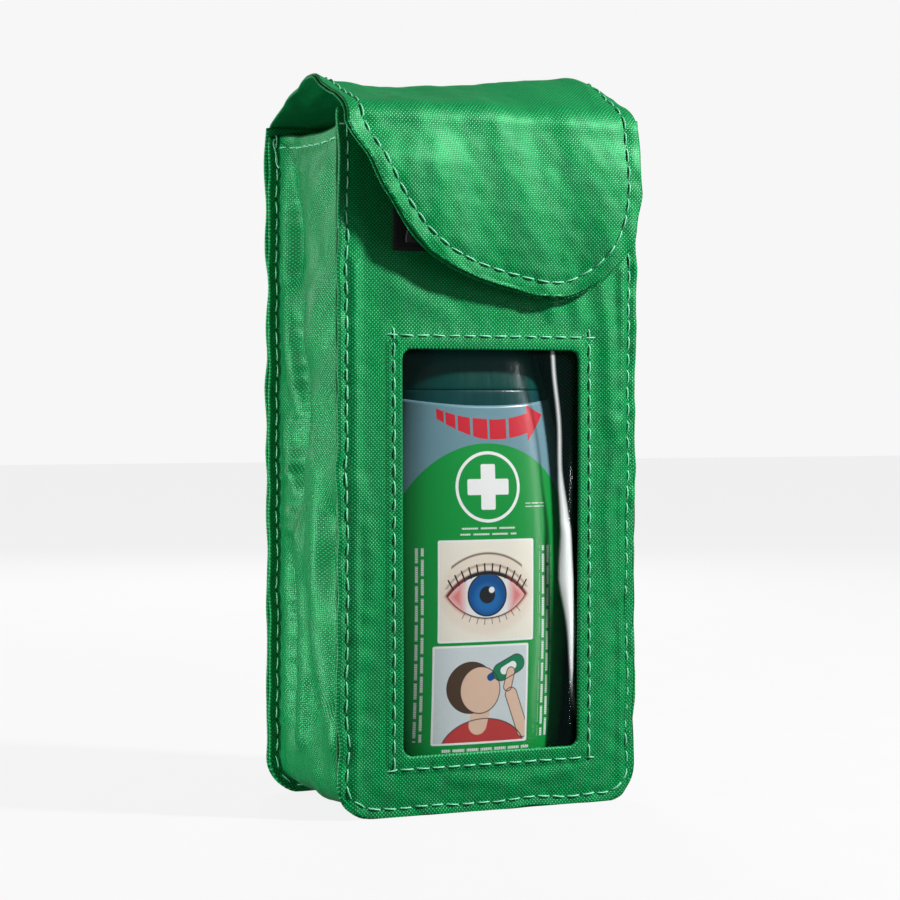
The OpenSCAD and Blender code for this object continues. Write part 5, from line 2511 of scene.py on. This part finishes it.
@dataclass
class Pouch:
    """The pouch: panels, gusset, window, flap and closure."""

    sizes: PouchSizes = field(default_factory=PouchSizes)

    def build(self, kit: Finishes, sewing: Sewing) -> None:
        """Build and dress every sewn piece of the pouch.

        Args:
            kit: the materials.
            sewing: what draws the seams.
        """
        front = FrontPanel(1.2, 1.0, sizes=self.sizes)
        front.build(kit.fabric)
        self.sewn(sewing, "front_panel", front, 1)
        LOG.info("front panel: %d seams", len(front.seams))
        back = BackPanel(1.2, -1.0, sizes=self.sizes)
        back.build(kit.fabric)
        self.sewn(sewing, "back_panel", back, 2)
        gusset = SideGusset(1.2, -1.0, sizes=self.sizes)
        gusset.build(kit.gusset)
        self.sewn(sewing, "side_gusset", gusset, 3)
        hem = gusset.hem("gusset_hem_left", False, kit.lining)
        gusset.hem("gusset_hem_right", True, kit.lining)
        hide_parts("gusset_hems")
        LOG.info("gusset: %.0f mm long", gusset.length)
        WindowFilm(0.3, 1.0, sizes=self.sizes).build(kit.film)
        self.tail(kit)
        self.flap(kit, sewing, front)

    @staticmethod
    def sewn(sewing: Sewing, name: str, cloth: Cloth, seed: int) -> None:
        """Sew a piece that belongs to the pouch itself."""
        for piece in sewing.sew(name, cloth, seed):
            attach(piece, "pouch")

    def flap(self, kit: Finishes, sewing: Sewing, front: FrontPanel) -> None:
        """Build the flap's two plies, its seam and the closure.

        Args:
            kit: the materials.
            sewing: what draws the seams.
            front: the front panel.
        """
        outer = Flap(0.8, -1.0, offset=0.4, sizes=self.sizes)
        sewn_edge = np.array([(-43.0, 4.0), (43.0, 4.0)])
        outer.seams = [Seam(outer.outline(4.0), pull=0.34), Seam(sewn_edge, pull=0.3)]
        outer.build("flap_outer_cloth", "flap_outer", kit.flap, "pouch_fabric", ["back_panel_cloth"])
        for piece in sewing.sew("flap", outer, 4):
            outer.follow(piece)
        lining = Flap(0.7, -1.0, offset=-0.5, proud=0.7, sizes=self.sizes)
        lining.build("flap_lining_cloth", "flap_lining", kit.lining, "lining_fabric", ["flap_outer_cloth"])
        hooks = TapePatch(0.5, 1.0, base=front, lift=0.85)
        hooks.build("hook_tape", "closure_hook_patch", "pouch", TapeFace.HOOK, kit.tape, sewing.trees)
        loops = TapePatch(0.5, 1.0, base=outer, lift=-1.65, low=(-29.0, 88.6), high=(29.0, 109.6))
        loops.build("loop_tape", "closure_loop_patch", "flap", TapeFace.LOOP, kit.tape, sewing.trees)
        LOG.info("flap: %.1f mm from sewn edge to tip", outer.tip)

    def tail(self, kit: Finishes) -> None:
        """Leave a loose thread tail at the rear corner of the mouth.

        Args:
            kit: the materials.
        """
        t = np.linspace(0.0, 1.0, 40)[:, None]
        ends = np.array([(-45.6, 24.2, 197.0), (-47.6, 20.5, 194.5), (-48.4, 17.0, 190.0),
                         (-47.6, 15.4, 187.5)])
        line = ((1 - t) ** 3 * ends[0] + 3 * t * (1 - t) ** 2 * ends[1] + 3 * t**2 * (1 - t) * ends[2]
                + t**3 * ends[3])
        line[:, 1] += 0.8 * np.sin(t[:, 0] * 9.0)
        piece = tube("thread_tail", line, 0.22)
        dress(piece, kit.thread)
        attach(piece, "pouch")


def main() -> None:
    """Build the station."""
    logging.basicConfig(level=logging.INFO, format="%(name)s: %(message)s")
    Camera().build()
    Studio().build()
    kit = Finishes.mixed()
    trees = {sprig: SprigTree(sprig) for sprig in Sprig}
    sewing = Sewing(kit.thread, kit.pit, trees)
    Pouch().build(kit, sewing)
    BeltStrap().build(kit, sewing)
    LOG.info("belt strap and press stud built")
    Bottle().build(kit)
    LOG.info("bottle, labels and cap built")


if __name__ == "__main__":
    main()
